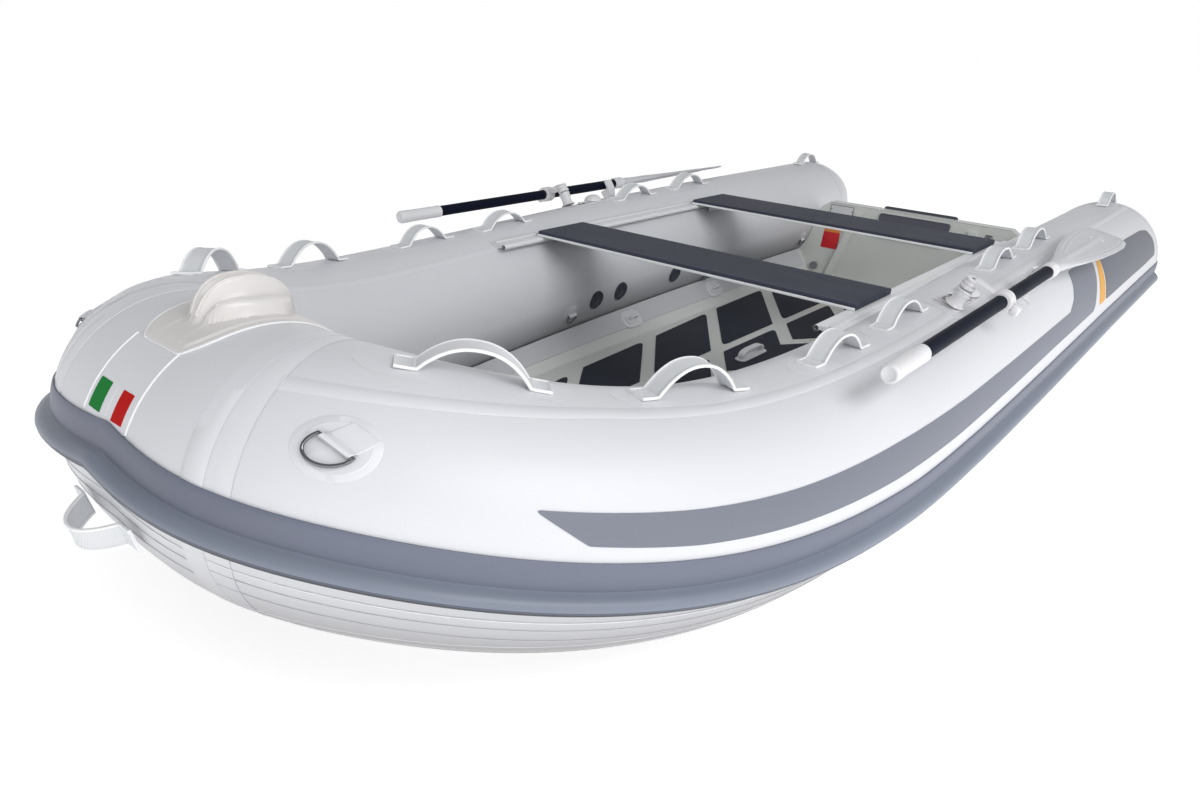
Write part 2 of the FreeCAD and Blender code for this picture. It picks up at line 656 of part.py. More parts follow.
def tube_handle(ua, ub, deg, by_x=False, **kw):
    fr_at = skin_frame if by_x else frame
    fa, fb = fr_at(ua), fr_at(ub)
    pa, pb = fa.p(deg, fa.r), fb.p(deg, fb.r)
    fm = fr_at((ua + ub) / 2)
    up = fm.p(deg, 1) - fm.c
    # keep the tabs clear of a crowned stretch of tube
    lift = 0.0
    ax = (pa - pb)
    ax.normalize()
    upn = up - ax * up.dot(ax)
    upn.normalize()
    for i in range(41):
        f = fr_at(ub + (ua - ub) * i / 40.0)
        s = (f.p(deg, f.r) - (pa + pb) * 0.5).dot(ax)
        if abs(s) > (pa - pb).Length / 2 - 32:
            lift = max(lift, (f.p(deg, f.r) - (pa + pb) * 0.5).dot(upn))
    c = (pa + pb) * 0.5 + upn * (lift + 0.5 + kw.get("h", HANDLE_H) * 0.5)
    HGAPS.append((c, ax))
    return handle(pa, pb, up, lift + 0.5, **kw)


HGAPS = []
hp = [tube_handle(*h) for h in HANDLES]
# small handle over the joint of tube and cone
hp.append(tube_handle(285.0, 95.0, 91.7, True, h=46.0, w=34.0, tab=28.0))
save("grab_handles_port", hp)
save("grab_handles_starboard", [flip(s) for s in hp])

# tow handle under the nose, standing forward
nf = frame(1.0)
ang = -12.0
c = nf.p(ang, nf.r)
rd = nf.p(ang, 1) - nf.c
save("tow_handle_bow", handle(c + V(0, 93, 0), c + V(0, -93, 0), rd, 9.0, 52, 40, 30))

# ------------------------------------------------------------ bow fitting
HUMP = [(52, 0), (60, 1), (68, 8), (74, 22), (78, 38), (82.6, 55), (88, 68), (96, 59), (105, 42), (115, 23), (120, 10), (125, 3), (130, 0)]
FIT_HALF = 128.0


def fitting_section(f):
    y = abs(f.c.y)
    g = max(0.0, 1 - (y / 104.0) ** 2) ** 0.75
    w = math.sqrt(max(0.05, 1 - (y / (FIT_HALF + 12)) ** 2))
    base = 4.0
    pts = []
    for d, h in HUMP:
        dd = 88 + (d - 88) * (0.55 + 0.45 * w)
        pts.append(f.p(dd, f.r + GAP + base + h * g))
    d0, d1 = 88 + (HUMP[0][0] - 88) * (0.55 + 0.45 * w), 88 + (HUMP[-1][0] - 88) * (0.55 + 0.45 * w)
    c = Part.BSplineCurve()
    c.interpolate(pts)
    lo, hi = f.p(d0, f.r + GAP), f.p(d1, f.r + GAP)
    return Part.Wire([c.toShape(), line(pts[-1], hi), arc(hi, f.p((d0 + d1) / 2, f.r + GAP), lo), line(lo, pts[0])])


lo_u, hi_u = 0.85, 1.0
for _ in range(40):
    m = (lo_u + hi_u) / 2
    if centre(m).y > FIT_HALF:
        lo_u = m
    else:
        hi_u = m
fit_half = [frame(u) for u in span(lo_u, 1.0, 8)]
save("bow_fitting", loft([fitting_section(f) for f in fit_half + [mirrored(f) for f in fit_half[-2::-1]]]))

# ------------------------------------------------------------ D-rings, valves, lugs on the tubes
def disc_on(f, deg, rad, t, off=GAP):
    up = f.p(deg, 1) - f.c
    sag = rad * rad / (2 * f.r)
    return cyl(f.p(deg, f.r + off - 0.2), up, rad, t + sag * 0.35), up


def dring(f, deg, along, k=1.0, patch=34.0):
    """Round bonded patch with a D-shaped steel ring lying on it."""
    p, up = disc_on(f, deg, patch, 2.6, 0.6)
    side = up.cross(along)
    side.normalize()
    c = f.p(deg, f.r + 8.5)
    rr, w = 2.3 * k, 17.0 * k
    a, b = c + side * w, c - side * w
    arc_m = c + along * (24.0 * k)
    n0 = (Part.Arc(a, arc_m, b)).tangent(Part.Arc(a, arc_m, b).FirstParameter)[0]
    prof = Part.Wire([Part.Circle(a, n0, rr).toShape()])
    sweep = Part.Wire([arc(a, arc_m, b)]).makePipeShell([prof], True, True)
    bar = cyl(b, (a - b), rr, (a - b).Length)
    ringd = one(sweep.fuse(bar))
    o = c - along * (26 * k) - side * (12 * k) - up * 6.5
    tab = prism([o, o + side * (24 * k), o + side * (24 * k) + along * (31 * k), o + along * (31 * k)], up * (6.5 + 1.6 * k + 2.0))
    return one(p.fuse(tab).fuse(ringd))


def on_port(x, deg):
    return frame(u_at_x(x))


dr_out_f = frame(0.807)
g = [dring(dr_out_f, 44.5, dr_out_f.t * 0.6 + (dr_out_f.p(44.5 - 90, 1) - dr_out_f.c) * 0.8, 0.95, 36.0)]
for x, deg in ((2025.0, 199.5), (1236.5, 208.0), (505.0, 201.5)):
    f = on_port(x, deg)
    g.append(dring(f, deg, (f.p(deg + 90, 1) - f.c)))
save("d_rings_port", g)
save("d_rings_starboard", [flip(s) for s in g])

vs = []
for x, deg in ((1909.0, 193.0), (1784.0, 192.5), (1472.0, 194.0)):
    f = on_port(x, deg)
    d, up = disc_on(f, deg, 33.0, 3.0, 0.5)
    k = cyl(f.p(deg, f.r + 3), up, 23.0, 11.0)
    vs.append(one(d.fuse(k)))
save("valves_port", vs)
save("valves_starboard", [flip(s) for s in vs])

# moulded lugs on the two skirts and one by the centre line on the deck
lugs = []
for x in (1709.0, 1195.0):
    h = hull_half(x)
    (yb, zb), (yd, zd) = h[4], h[5]
    k = math.hypot(yb - yd, zb - zd)
    e1, n1 = V(0, (yb - yd) / k, (zb - zd) / k), V(0, -(zb - zd) / k, (yb - yd) / k)
    o = V(x, yd, zd) + e1 * (0.62 * k) + n1 * 3.6
    pl = prism([o - e1 * 17 + V(-30, 0, 0), o - e1 * 17 + V(30, 0, 0), o + e1 * 17 + V(30, 0, 0), o + e1 * 17 + V(-30, 0, 0)], n1 * 4)
    hoop = Part.makeTorus(15, 4.0, o + n1 * 3, e1).common(prism([o - e1 * 30 + V(-40, 0, 0), o - e1 * 30 + V(40, 0, 0), o + e1 * 30 + V(40, 0, 0), o + e1 * 30 + V(-40, 0, 0)], n1 * 40))
    b = one(pl.fuse(hoop))
    lugs += [b, flip(b)]
b = box(1552, 1688, -36, 0, DECK_Z + 0.3, DECK_Z + 5)
hoop = box(1562, 1678, -27, -9, DECK_Z + 2, DECK_Z + 25)
hoop = hoop.makeFillet(7.0, [e for e in hoop.Edges if abs(e.BoundBox.ZMin - DECK_Z - 25) < 0.1 and e.BoundBox.YLength > 17])
hoop = hoop.cut(box(1576, 1664, -40, 10, DECK_Z + 4, DECK_Z + 17))
lugs.append(one(b.fuse(hoop)))
save("deck_lugs", lugs)

# ------------------------------------------------------------ overall box
bb = None
for s in MADE.values():
    bb = FreeCAD.BoundBox(s.BoundBox) if bb is None else bb.united(s.BoundBox)
print("BOX x %.2f..%.2f y %.2f..%.2f z %.2f..%.2f" % (bb.XMin, bb.XMax, bb.YMin, bb.YMax, bb.ZMin, bb.ZMax))
print("volume m3 %.4f" % (sum(s.Volume for s in MADE.values()) / 1e9))
print("pin n_sh %.2f t_sh %.2f t_pin %.2f n_pin %.2f boss %.2f" % (n_sh, t_sh, t_pin, n_pin, BOSS_TOP))
print("pin axis port x %.2f y %.2f z %.2f dir %.4f %.4f %.4f" % (tuple(at(OAR_PIN_X + X_SHIFT, BOSS_TOP, t_pin)) + tuple(AXN)))
for i, (c, ax) in enumerate(HGAPS):
    e = V(26 * abs(ax.x) + 8, 26 * abs(ax.y) + 8, 8)
    print("GAPBOX %d %.1f %.1f %.1f %.1f %.1f %.1f" % ((i + 1,) + tuple(c - e) + tuple(c + e)))
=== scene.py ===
import math

import bpy
import numpy as np
from mathutils import Matrix, Vector


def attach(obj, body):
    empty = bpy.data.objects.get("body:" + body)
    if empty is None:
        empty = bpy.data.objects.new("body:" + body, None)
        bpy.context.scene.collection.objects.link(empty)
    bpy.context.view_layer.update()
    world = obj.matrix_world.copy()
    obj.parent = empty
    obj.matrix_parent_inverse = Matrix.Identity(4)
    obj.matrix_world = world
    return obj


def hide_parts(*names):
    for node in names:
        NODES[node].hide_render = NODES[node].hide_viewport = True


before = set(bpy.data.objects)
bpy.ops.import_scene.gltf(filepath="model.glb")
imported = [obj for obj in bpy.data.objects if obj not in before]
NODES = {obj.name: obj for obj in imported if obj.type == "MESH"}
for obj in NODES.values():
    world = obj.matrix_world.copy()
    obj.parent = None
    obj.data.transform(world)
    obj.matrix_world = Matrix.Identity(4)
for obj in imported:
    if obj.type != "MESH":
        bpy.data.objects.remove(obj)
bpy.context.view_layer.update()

# ---------------------------------------------------------------- tube centre line (mm, stern at 0)
XS = -1725.6
R_AFT, R_BOW = 202.0, 218.5
X_CONE, X_TIP, R_TIP, RISE = 140.0, -130.0, 78.0, 30.0
CP = np.array([(0, 636.2, 310.0), (837, 636.2, 310.0), (1057.7, 636.2, 310.0), (1966.4, 636.2, 296.9),
               (2895.3, 603.0, 260.9), (3332.6, 264.6, 422.9), (3311.6, 106.1, 396.1), (3311.6, 0, 396.1)])
KN = [0.0, 0, 0, 0, 0.2, 0.4, 0.6, 0.8, 1.0, 1.0, 1.0, 1.0]


def _bs(t):
    s = 3
    while s < 7 and t >= KN[s + 1]:
        s += 1
    d = [CP[j + s - 3] for j in range(4)]
    for r in range(1, 4):
        for j in range(3, r - 1, -1):
            i = j + s - 3
            a = (t - KN[i]) / (KN[i + 4 - r] - KN[i])
            d[j] = (1 - a) * d[j - 1] + a * d[j]
    return d[3]


U = np.concatenate([np.linspace(0, 0.8, 1100), np.linspace(0.8, 1, 1000)[1:]])
C = np.array([_bs(u) for u in U])
T = np.gradient(C, U, axis=0)
T[-1] = (0, -1, 0)
T /= np.linalg.norm(T, axis=1)[:, None]
NN = np.cross([0, 0, 1.0], T)
NN /= np.linalg.norm(NN, axis=1)[:, None]
BB = np.cross(T, NN)
RR = R_AFT + (R_BOW - R_AFT) * np.clip((U - 0.45) / 0.55, 0, 1)
SS = np.concatenate([[0], np.cumsum(np.linalg.norm(np.diff(C, axis=0), axis=1))])
mono = U < 0.84
QQ = SS - np.interp(X_CONE, C[mono, 0], SS[mono]) + X_CONE
keep = QQ > X_CONE
cx = np.linspace(X_TIP, X_CONE, 60)
cs = (X_CONE - cx) / (X_CONE - X_TIP)
TQ = np.concatenate([cx, QQ[keep]])
TC = np.concatenate([np.stack([cx, 0 * cx + 636.2, 310 + RISE * cs], 1), C[keep]])
TN = np.concatenate([np.tile([0, 1.0, 0], (60, 1)), NN[keep]])
TB = np.concatenate([np.tile([0, 0, 1.0], (60, 1)), BB[keep]])
TR = np.concatenate([R_AFT * (1 - (1 - R_TIP / R_AFT) * cs ** 1.35), RR[keep]])
QB = QQ[-1]


def qu(u):
    return np.interp(u, U, QQ)


def qx(x):
    return np.interp(x, C[mono, 0], QQ[mono]) if x > X_CONE else x


def tab(q, A):
    return np.stack([np.interp(q, TQ, A[:, k]) for k in range(3)], -1)


def P(q, deg, h=0.0, side=1):
    """Point on the air chambers: along q, round deg (0 outboard, 90 up), h above the skin."""
    q, deg, h = np.broadcast_arrays(np.asarray(q, float), np.asarray(deg, float), np.asarray(h, float))
    over = q > QB
    qq = np.where(over, 2 * QB - q, q)
    a = np.radians(deg)
    r = np.interp(qq, TQ, TR) + h
    p = tab(qq, TC) + (r * np.cos(a))[..., None] * tab(qq, TN) + (r * np.sin(a))[..., None] * tab(qq, TB)
    p[..., 1] = np.where(over, -p[..., 1], p[..., 1]) * side
    return p


def kdeg(q):
    return np.interp(min(q, 2 * QB - q), TQ, TR) * math.pi / 180


def unit(v):
    v = np.asarray(v, float)
    return v / np.linalg.norm(v)


# ---------------------------------------------------------------- mesh building
class Acc:
    def __init__(self):
        self.v, self.f, self.m, self.uv, self.n = [], [], [], [], 0

    def add(self, verts, uv=None):
        b = self.n
        verts = np.asarray(verts, float).reshape(-1, 3)
        self.v.append(verts)
        self.uv.append(np.zeros((len(verts), 2)) if uv is None else np.asarray(uv, float).reshape(-1, 2))
        self.n += len(verts)
        return b

    def grid(self, G, mat=0, cu=False, cv=False, ref=None, solid=False, uv=None, caps=False):
        nu, nv = G.shape[:2]
        b = self.add(G, uv)
        iu = np.arange(nu if cu else nu - 1)
        iv = np.arange(nv if cv else nv - 1)
        I, J = np.meshgrid(iu, iv, indexing="ij")
        a = I * nv + J
        bb = ((I + 1) % nu) * nv + J
        c = ((I + 1) % nu) * nv + (J + 1) % nv
        d = I * nv + (J + 1) % nv
        F = np.stack([a, bb, c, d], -1).reshape(-1, 4)
        V = G.reshape(-1, 3)
        n = np.cross(V[F[:, 2]] - V[F[:, 0]], V[F[:, 3]] - V[F[:, 1]])
        flip = False
        if ref is not None:
            D = np.asarray(ref, float)
            D = (D.reshape(-1, 3)[F[:, 0]] if D.size > 3 else D) if D.ndim > 1 else D
            flip = float(np.sum(n * D)) < 0
        elif solid or caps:
            o = V.mean(0)
            flip = float(np.sum(n * (V[F].mean(1) - o))) < 0
        if flip:
            F = F[:, ::-1]
        mm = np.broadcast_to(np.asarray(mat), (len(iu), len(iv))).reshape(-1)
        self.f += (F + b).tolist()
        self.m += mm.tolist()
        if caps:
            e0 = [b + j for j in range(nv)]
            e1 = [b + (nu - 1) * nv + j for j in range(nv)]
            mc = int(mm[0])
            self.f += [e0 if flip else e0[::-1], e1[::-1] if flip else e1]
            # cap winding follows the side walls
            for k in (-2, -1):
                pts = self.at(self.f[k])
                nrm = np.zeros(3)
                for i in range(len(pts)):
                    nrm += np.cross(pts[i], pts[(i + 1) % len(pts)])
                if np.dot(nrm, pts.mean(0) - V.mean(0)) < 0:
                    self.f[k] = self.f[k][::-1]
            self.m += [mc, mc]

    def at(self, idx):
        A = np.concatenate(self.v)
        return A[idx]

    def to_starboard(self):
        """Mirror, roll outboard round the straight tube and move aft, as the starboard oar set lies."""
        r = math.radians(3.5)
        for v in self.v:
            y, z = -v[:, 1] + 636.2, v[:, 2] - 297.0
            v[:, 1] = y * math.cos(r) - z * math.sin(r) - 636.2
            v[:, 2] = y * math.sin(r) + z * math.cos(r) + 297.0
            v[:, 0] -= 190.0
        self.f = [f[::-1] for f in self.f]

    def make(self, name, mats, body="root", sharp=38):
        V = (np.concatenate(self.v) + [XS, 0, 0]) * 0.001
        me = bpy.data.meshes.new(name)
        me.from_pydata(V.tolist(), [], self.f)
        for m in mats:
            me.materials.append(m)
        me.polygons.foreach_set("material_index", self.m)
        me.polygons.foreach_set("use_smooth", [True] * len(me.polygons))
        lay = me.uv_layers.new(name="weave")
        vi = np.empty(len(me.loops), int)
        me.loops.foreach_get("vertex_index", vi)
        uv = np.concatenate(self.uv) * 0.001
        lay.data.foreach_set("uv", uv[vi].reshape(-1))
        me.update()
        me.set_sharp_from_angle(angle=math.radians(sharp))
        ob = bpy.data.objects.new(name, me)
        bpy.context.scene.collection.objects.link(ob)
        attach(ob, body)
        return ob


def skin(acc, q, d, h, side=1, mat=0, cv=False):
    """Grid on the tube from broadcast arrays, with weave coordinates."""
    q, d, h = np.broadcast_arrays(q, d, h)
    G = P(q, d, h, side)
    acc.grid(G, mat, cv=cv, ref=P(q, d, h + 5, side) - G, uv=np.stack([q, d * 3.6], -1))


def round_poly(pts, rad, n=6):
    pts = np.asarray(pts, float)
    rad = np.broadcast_to(rad, len(pts))
    out = []
    for i in range(len(pts)):
        p, a, b = pts[i], pts[i - 1], pts[(i + 1) % len(pts)]
        r = float(rad[i])
        ua, ub = a - p, b - p
        la, lb = np.linalg.norm(ua), np.linalg.norm(ub)
        if r <= 0 or la < 1e-6 or lb < 1e-6:
            out.append(p)
            continue
        ua, ub = ua / la, ub / lb
        ang = math.acos(max(-1, min(1, float(ua @ ub))))
        if ang > math.pi - 0.05:
            out.append(p)
            continue
        t = min(r / math.tan(ang / 2), 0.48 * la, 0.48 * lb)
        for k in range(n + 1):
            s = k / n
            out.append((1 - s) ** 2 * (p + ua * t) + 2 * s * (1 - s) * p + s * s * (p + ub * t))
    return np.array(out)


def area(acc, pts, rad, h, side=1, mat=0, step=10.0, k=3.57, h0=0.0, rows=14.0):
    """Bonded sheet of thickness h on the tube inside the outline (q, deg)."""
    pts = np.array([(a, b * k) for a, b in pts], float)
    o = round_poly(pts, rad)
    q0, q1 = o[:, 0].min(), o[:, 0].max()
    n = max(14, int((q1 - q0) / step * 1.5))
    w = 0.5 - 0.5 * np.cos(np.pi * np.linspace(0, 1, n))
    w = 0.5 * w + 0.5 * np.linspace(0, 1, n)
    qs = q0 + (q1 - q0) * w
    qs[0] += 0.02
    qs[-1] -= 0.02
    lo, hi = [], []
    nx = np.roll(o, -1, 0)
    for q in qs:
        m = (o[:, 0] - q) * (nx[:, 0] - q) <= 0
        m &= np.abs(nx[:, 0] - o[:, 0]) > 1e-9
        t = (q - o[m, 0]) / (nx[m, 0] - o[m, 0])
        y = o[m, 1] + t * (nx[m, 1] - o[m, 1])
        lo.append(y.min())
        hi.append(y.max())
    lo, hi = np.array(lo), np.array(hi)
    nv = max(4, int((hi - lo).max() / rows) + 2)
    t = np.linspace(0, 1, nv)
    D = (lo[:, None] + (hi - lo)[:, None] * t) / k
    Qg = np.repeat(qs[:, None], nv, 1)
    Hg = np.full_like(D, h)
    D, Qg = np.pad(D, 1, mode="edge"), np.pad(Qg, 1, mode="edge")
    Hg = np.pad(Hg, 1, constant_values=h0)
    skin(acc, Qg, D, Hg, side, mat)


def disc(acc, q0, d0, a, b, prof, side=1, mat=0, rot=0.0, n=48):
    """Round or oval piece on the tube; prof lists (fraction of the radius, height)."""
    k = kdeg(q0)
    t = np.array([p[0] for p in prof])
    hh = np.array([p[1] for p in prof])
    th = np.linspace(0, 2 * math.pi, n, endpoint=False)
    dx, dy = a * t[:, None] * np.cos(th), b * t[:, None] * np.sin(th)
    c, s = math.cos(rot), math.sin(rot)
    skin(acc, q0 + dx * c - dy * s, d0 + (dx * s + dy * c) / k, np.repeat(hh[:, None], n, 1), side, mat, cv=True)


def ring_line(acc, q0, d0, a, b, w, h, side=1, mat=0):
    disc(acc, q0, d0, a, b, [(1 - w / a, 0), (1 - 0.7 * w / a, h), (1 - 0.3 * w / a, h), (1, 0)], side, mat, n=64)


def path_tube(acc, pts, r, mat=0, n=10, closed=False, up=(0, 0, 1)):
    pts = np.asarray(pts, float)
    m = len(pts)
    if closed:
        t = np.roll(pts, -1, 0) - np.roll(pts, 1, 0)
    else:
        t = np.gradient(pts, axis=0)
    t /= np.linalg.norm(t, axis=1)[:, None]
    e1 = np.cross(np.asarray(up, float), t)
    bad = np.linalg.norm(e1, axis=1) < 1e-3
    e1[bad] = np.cross([1.0, 0.02, 0.01], t[bad])
    e1 /= np.linalg.norm(e1, axis=1)[:, None]
    e2 = np.cross(t, e1)
    a = np.linspace(0, 2 * math.pi, n, endpoint=False)
    rr = np.broadcast_to(r, m)
    G = pts[:, None] + rr[:, None, None] * (np.cos(a)[None, :, None] * e1[:, None] + np.sin(a)[None, :, None] * e2[:, None])
    ref = G - pts[:, None]
    b = acc.n
    acc.grid(G, mat, cu=closed, cv=True, ref=ref)
    if not closed:
        for i in (0, m - 1):
            ids = [b + i * n + j for j in range(n)]
            q = acc.at(ids)
            nrm = np.cross(q[1] - q[0], q[2] - q[1])
            d = -t[0] if i == 0 else t[-1]
            acc.f.append(ids if nrm @ d > 0 else ids[::-1])
            acc.m.append(mat)


def lathe(acc, c, axis, prof, mat=0, n=36, ref=None):
    """prof: (radius, distance along the axis)."""
    ax = unit(axis)
    e1 = unit(np.cross(ax, [0.3, 0.9, 0.2]))
    e2 = np.cross(ax, e1)
    a = np.linspace(0, 2 * math.pi, n, endpoint=False)
    pr = np.array([(p[0], p[1]) for p in prof], float)
    mats = np.array([p[2] if len(p) > 2 else mat for p in prof[:-1]])
    ring = np.cos(a)[:, None] * e1 + np.sin(a)[:, None] * e2
    G = np.asarray(c, float) + pr[:, None, 1:2] * ax + pr[:, None, 0:1] * ring[None]
    hollow = pr[0, 0] > 0.5 and pr[-1, 0] > 0.5 and abs(pr[0, 0] - pr[-1, 0]) < 1e-6 and abs(pr[0, 1] - pr[-1, 1]) < 1e-6
    acc.grid(G, np.repeat(mats[:, None], n, 1), cv=True, ref=None, solid=not hollow)


def plate(acc, outline, o, e1, e2, e3, t, bevel=0.8, mat=0, rim=None):
    """Flat plate: 2-D outline at origin o, thickness t along e3."""
    ol = np.asarray(outline, float)
    c = ol.mean(0)
    e1, e2, e3 = unit(e1), unit(e2), unit(e3)
    size = np.abs(ol - c).max()
    ins = lambda d: c + (ol - c) * (1 - d / size)
    rows = [(ol, 0.0), (ol, t - bevel), (ins(bevel * 0.35), t - 0.3 * bevel), (ins(bevel), t)]
    if rim:
        w, dep = rim
        rows += [(ins(bevel + w), t), (ins(bevel + w + 0.8), t - dep)]
    G = np.array([[np.asarray(o) + p[0] * e1 + p[1] * e2 + z * e3 for p in pts] for pts, z in rows])
    acc.grid(G, mat, cv=True, caps=True)


def slab(acc, c, e1, e2, e3, l1, l2, l3, mat=0, r=1.0):
    o = round_poly([(-l1 / 2, -l2 / 2), (l1 / 2, -l2 / 2), (l1 / 2, l2 / 2), (-l1 / 2, l2 / 2)], r * 2, 4)
    plate(acc, o, np.asarray(c) - unit(e3) * l3 / 2, e1, e2, e3, l3, min(r, l3 * 0.4), mat)


# ---------------------------------------------------------------- materials
def lin(h):
    v = [int(h[i:i + 2], 16) / 255 for i in (1, 3, 5)]
    return [x / 12.92 if x <= 0.04045 else ((x + 0.055) / 1.055) ** 2.4 for x in v] + [1.0]


def make_mat(name, col, rough=0.4, vary=0.03, vscale=2.5, grain=900.0, bump=0.00004, rvar=0.05,
             metal=0.0, coat=0.0, coat_rough=0.1, weave=0.0, pitch=1.1, sheen=0.0, spec=0.5, streak=None, ribs=None, convex_lighten=0.0, deep=0.16):
    m = bpy.data.materials.new(name)
    m.use_nodes = True
    nt = m.node_tree
    nt.nodes.clear()
    L = nt.links.new

    def nd(kind, **kw):
        x = nt.nodes.new("ShaderNode" + kind)
        for k, v in kw.items():
            if hasattr(x, k):
                setattr(x, k, v)
            else:
                x.inputs[k].default_value = v
        return x

    out = nd("OutputMaterial")
    bs = nd("BsdfPrincipled")
    L(bs.outputs[0], out.inputs[0])
    bs.inputs["Metallic"].default_value = metal
    bs.inputs["Coat Weight"].default_value = coat
    bs.inputs["Coat Roughness"].default_value = coat_rough
    bs.inputs["Sheen Weight"].default_value = sheen
    bs.inputs["Specular IOR Level"].default_value = spec
    tc = nd("TexCoord")
    big = nd("TexNoise")
    big.inputs["Scale"].default_value = vscale
    big.inputs["Detail"].default_value = 4.0
    L(tc.outputs["Object"], big.inputs["Vector"])
    c = lin(col)
    mix = nd("Mix", data_type="RGBA")
    mix.inputs[6].default_value = [min(1, x * (1 - vary)) for x in c[:3]] + [1]
    mix.inputs[7].default_value = [min(1, x * (1 + vary)) for x in c[:3]] + [1]
    L(big.outputs[0], mix.inputs[0])
    colour = mix.outputs[2]
    fine = nd("TexNoise")
    fine.inputs["Scale"].default_value = grain
    fine.inputs["Detail"].default_value = 3.0
    L(tc.outputs["Object"], fine.inputs["Vector"])
    height = fine.outputs[0]
    if weave > 0:
        uv = nd("UVMap", uv_map="weave")
        ws = []
        for dr in ("X", "Y"):
            w = nd("TexWave", wave_type="BANDS", bands_direction=dr)
            w.inputs["Scale"].default_value = 2 * math.pi / (20 * pitch * 0.001)
            w.inputs["Distortion"].default_value = 0.6
            w.inputs["Detail"].default_value = 1.0
            L(uv.outputs[0], w.inputs["Vector"])
            ws.append(w)
        mul = nd("Math", operation="MULTIPLY")
        L(ws[0].outputs[1], mul.inputs[0])
        L(ws[1].outputs[1], mul.inputs[1])
        add = nd("Math", operation="MULTIPLY_ADD")
        L(mul.outputs[0], add.inputs[0])
        add.inputs[1].default_value = weave
        L(fine.outputs[0], add.inputs[2])
        height = add.outputs[0]
    if ribs:
        w = nd("TexWave", wave_type="BANDS", bands_direction=ribs[0])
        w.inputs["Scale"].default_value = 2 * math.pi / (20 * ribs[1] * 0.001)
        w.inputs["Distortion"].default_value = ribs[2] if len(ribs) > 2 else 0.0
        L(tc.outputs["Object"], w.inputs["Vector"])
        add = nd("Math", operation="ADD")
        L(height, add.inputs[0])
        L(w.outputs[1], add.inputs[1])
        height = add.outputs[0]
        mx = nd("Mix", data_type="RGBA")
        mx.inputs[6].default_value = [x * 0.9 for x in c[:3]] + [1]
        L(w.outputs[1], mx.inputs[0])
        L(colour, mx.inputs[7])
        colour = mx.outputs[2]
    if streak:
        sn = nd("TexNoise")
        sn.inputs["Scale"].default_value = 1.0
        sn.inputs["Detail"].default_value = 5.0
        mp = nd("Mapping")
        mp.inputs["Scale"].default_value = streak
        L(tc.outputs["Object"], mp.inputs[0])
        L(mp.outputs[0], sn.inputs["Vector"])
        mx = nd("Mix", data_type="RGBA", blend_type="MULTIPLY")
        mx.inputs[0].default_value = deep
        rp = nd("ValToRGB")
        rp.color_ramp.elements[0].position = 0.35
        rp.color_ramp.elements[1].position = 0.65
        rp.color_ramp.elements[0].color = (0.72, 0.72, 0.74, 1)
        L(sn.outputs[0], rp.inputs[0])
        L(colour, mx.inputs[6])
        L(rp.outputs[0], mx.inputs[7])
        colour = mx.outputs[2]
    # lighter on sharp convex edges, by Pointiness
    if convex_lighten > 0:
        ge = nd("NewGeometry")
        rp = nd("ValToRGB")
        rp.color_ramp.elements[0].position = 0.52
        rp.color_ramp.elements[1].position = 0.62
        L(ge.outputs["Pointiness"], rp.inputs[0])
        mx = nd("Mix", data_type="RGBA")
        mx.inputs[7].default_value = [min(1, x * 1.5 + 0.04) for x in c[:3]] + [1]
        mm = nd("Math", operation="MULTIPLY")
        mm.inputs[1].default_value = convex_lighten
        L(rp.outputs[0], mm.inputs[0])
        L(mm.outputs[0], mx.inputs[0])
        L(colour, mx.inputs[6])
        colour = mx.outputs[2]
    L(colour, bs.inputs["Base Color"])
    mr = nd("MapRange")
    mr.inputs["To Min"].default_value = max(0.02, rough - rvar)
    mr.inputs["To Max"].default_value = rough + rvar
    L(big.outputs[0], mr.inputs["Value"])
    L(mr.outputs[0], bs.inputs["Roughness"])
    bp = nd("Bump")
    bp.inputs["Strength"].default_value = 1.0
    bp.inputs["Distance"].default_value = bump
    L(height, bp.inputs["Height"])
    L(bp.outputs[0], bs.inputs["Normal"])
    return m


M_TUBE = make_mat("pvc_light_grey", "#D6D7DB", 0.40, 0.012, 1.6, 700, 0.00005, 0.05, weave=0.9, pitch=1.3, coat=0.0)
M_TAPE = make_mat("pvc_tape", "#D8D9DD", 0.36, 0.012, 3, 700, 0.00004, 0.04, weave=0.7, pitch=1.3)
M_EDGE = make_mat("weld_edge", "#EDEEF0", 0.32, 0.02, 20, 600, 0.00005, 0.04)
# grey for the seam hair lines, and painted shade for the crease lines in the bow moulding
M_SEAM_LINE_CREASE_SHADE = make_mat("seam_line_and_crease_shade", "#BDBFC4", 0.5, 0.05, 20, 500, 0.00005, 0.05)
M_STRIPE = make_mat("pvc_blue_grey", "#727682", 0.42, 0.02, 3, 700, 0.00005, 0.04, weave=0.9, pitch=1.3)
M_PANEL = make_mat("pvc_slate", "#5C5F6C", 0.42, 0.02, 3, 700, 0.00005, 0.04, weave=0.9, pitch=1.3)
M_YELLOW = make_mat("pvc_amber", "#DE9C04", 0.40, 0.02, 6, 700, 0.00005, 0.04, weave=0.9, pitch=1.3)
M_GREEN = make_mat("badge_green", "#167A33", 0.6, 0.02, 12, 900, 0.00003, 0.04, spec=0.08)
M_RED = make_mat("badge_red", "#B80805", 0.6, 0.02, 12, 900, 0.00003, 0.04, spec=0.08)
M_BAND = make_mat("strake_band", "#6B7080", 0.45, 0.04, 5, 500, 0.00006, 0.06, streak=(1.5, 1.5, 30))
M_BULB = make_mat("strake_bulb", "#7A818F", 0.40, 0.04, 5, 500, 0.00006, 0.06, streak=(1.5, 1.5, 30))
# darker copy of the bulb colour for the bulb's lower half: painted shade
M_BULB_SHADED = make_mat("strake_bulb_painted_shade", "#515664", 0.45, 0.04, 5, 500, 0.00006, 0.06, streak=(1.5, 1.5, 30))
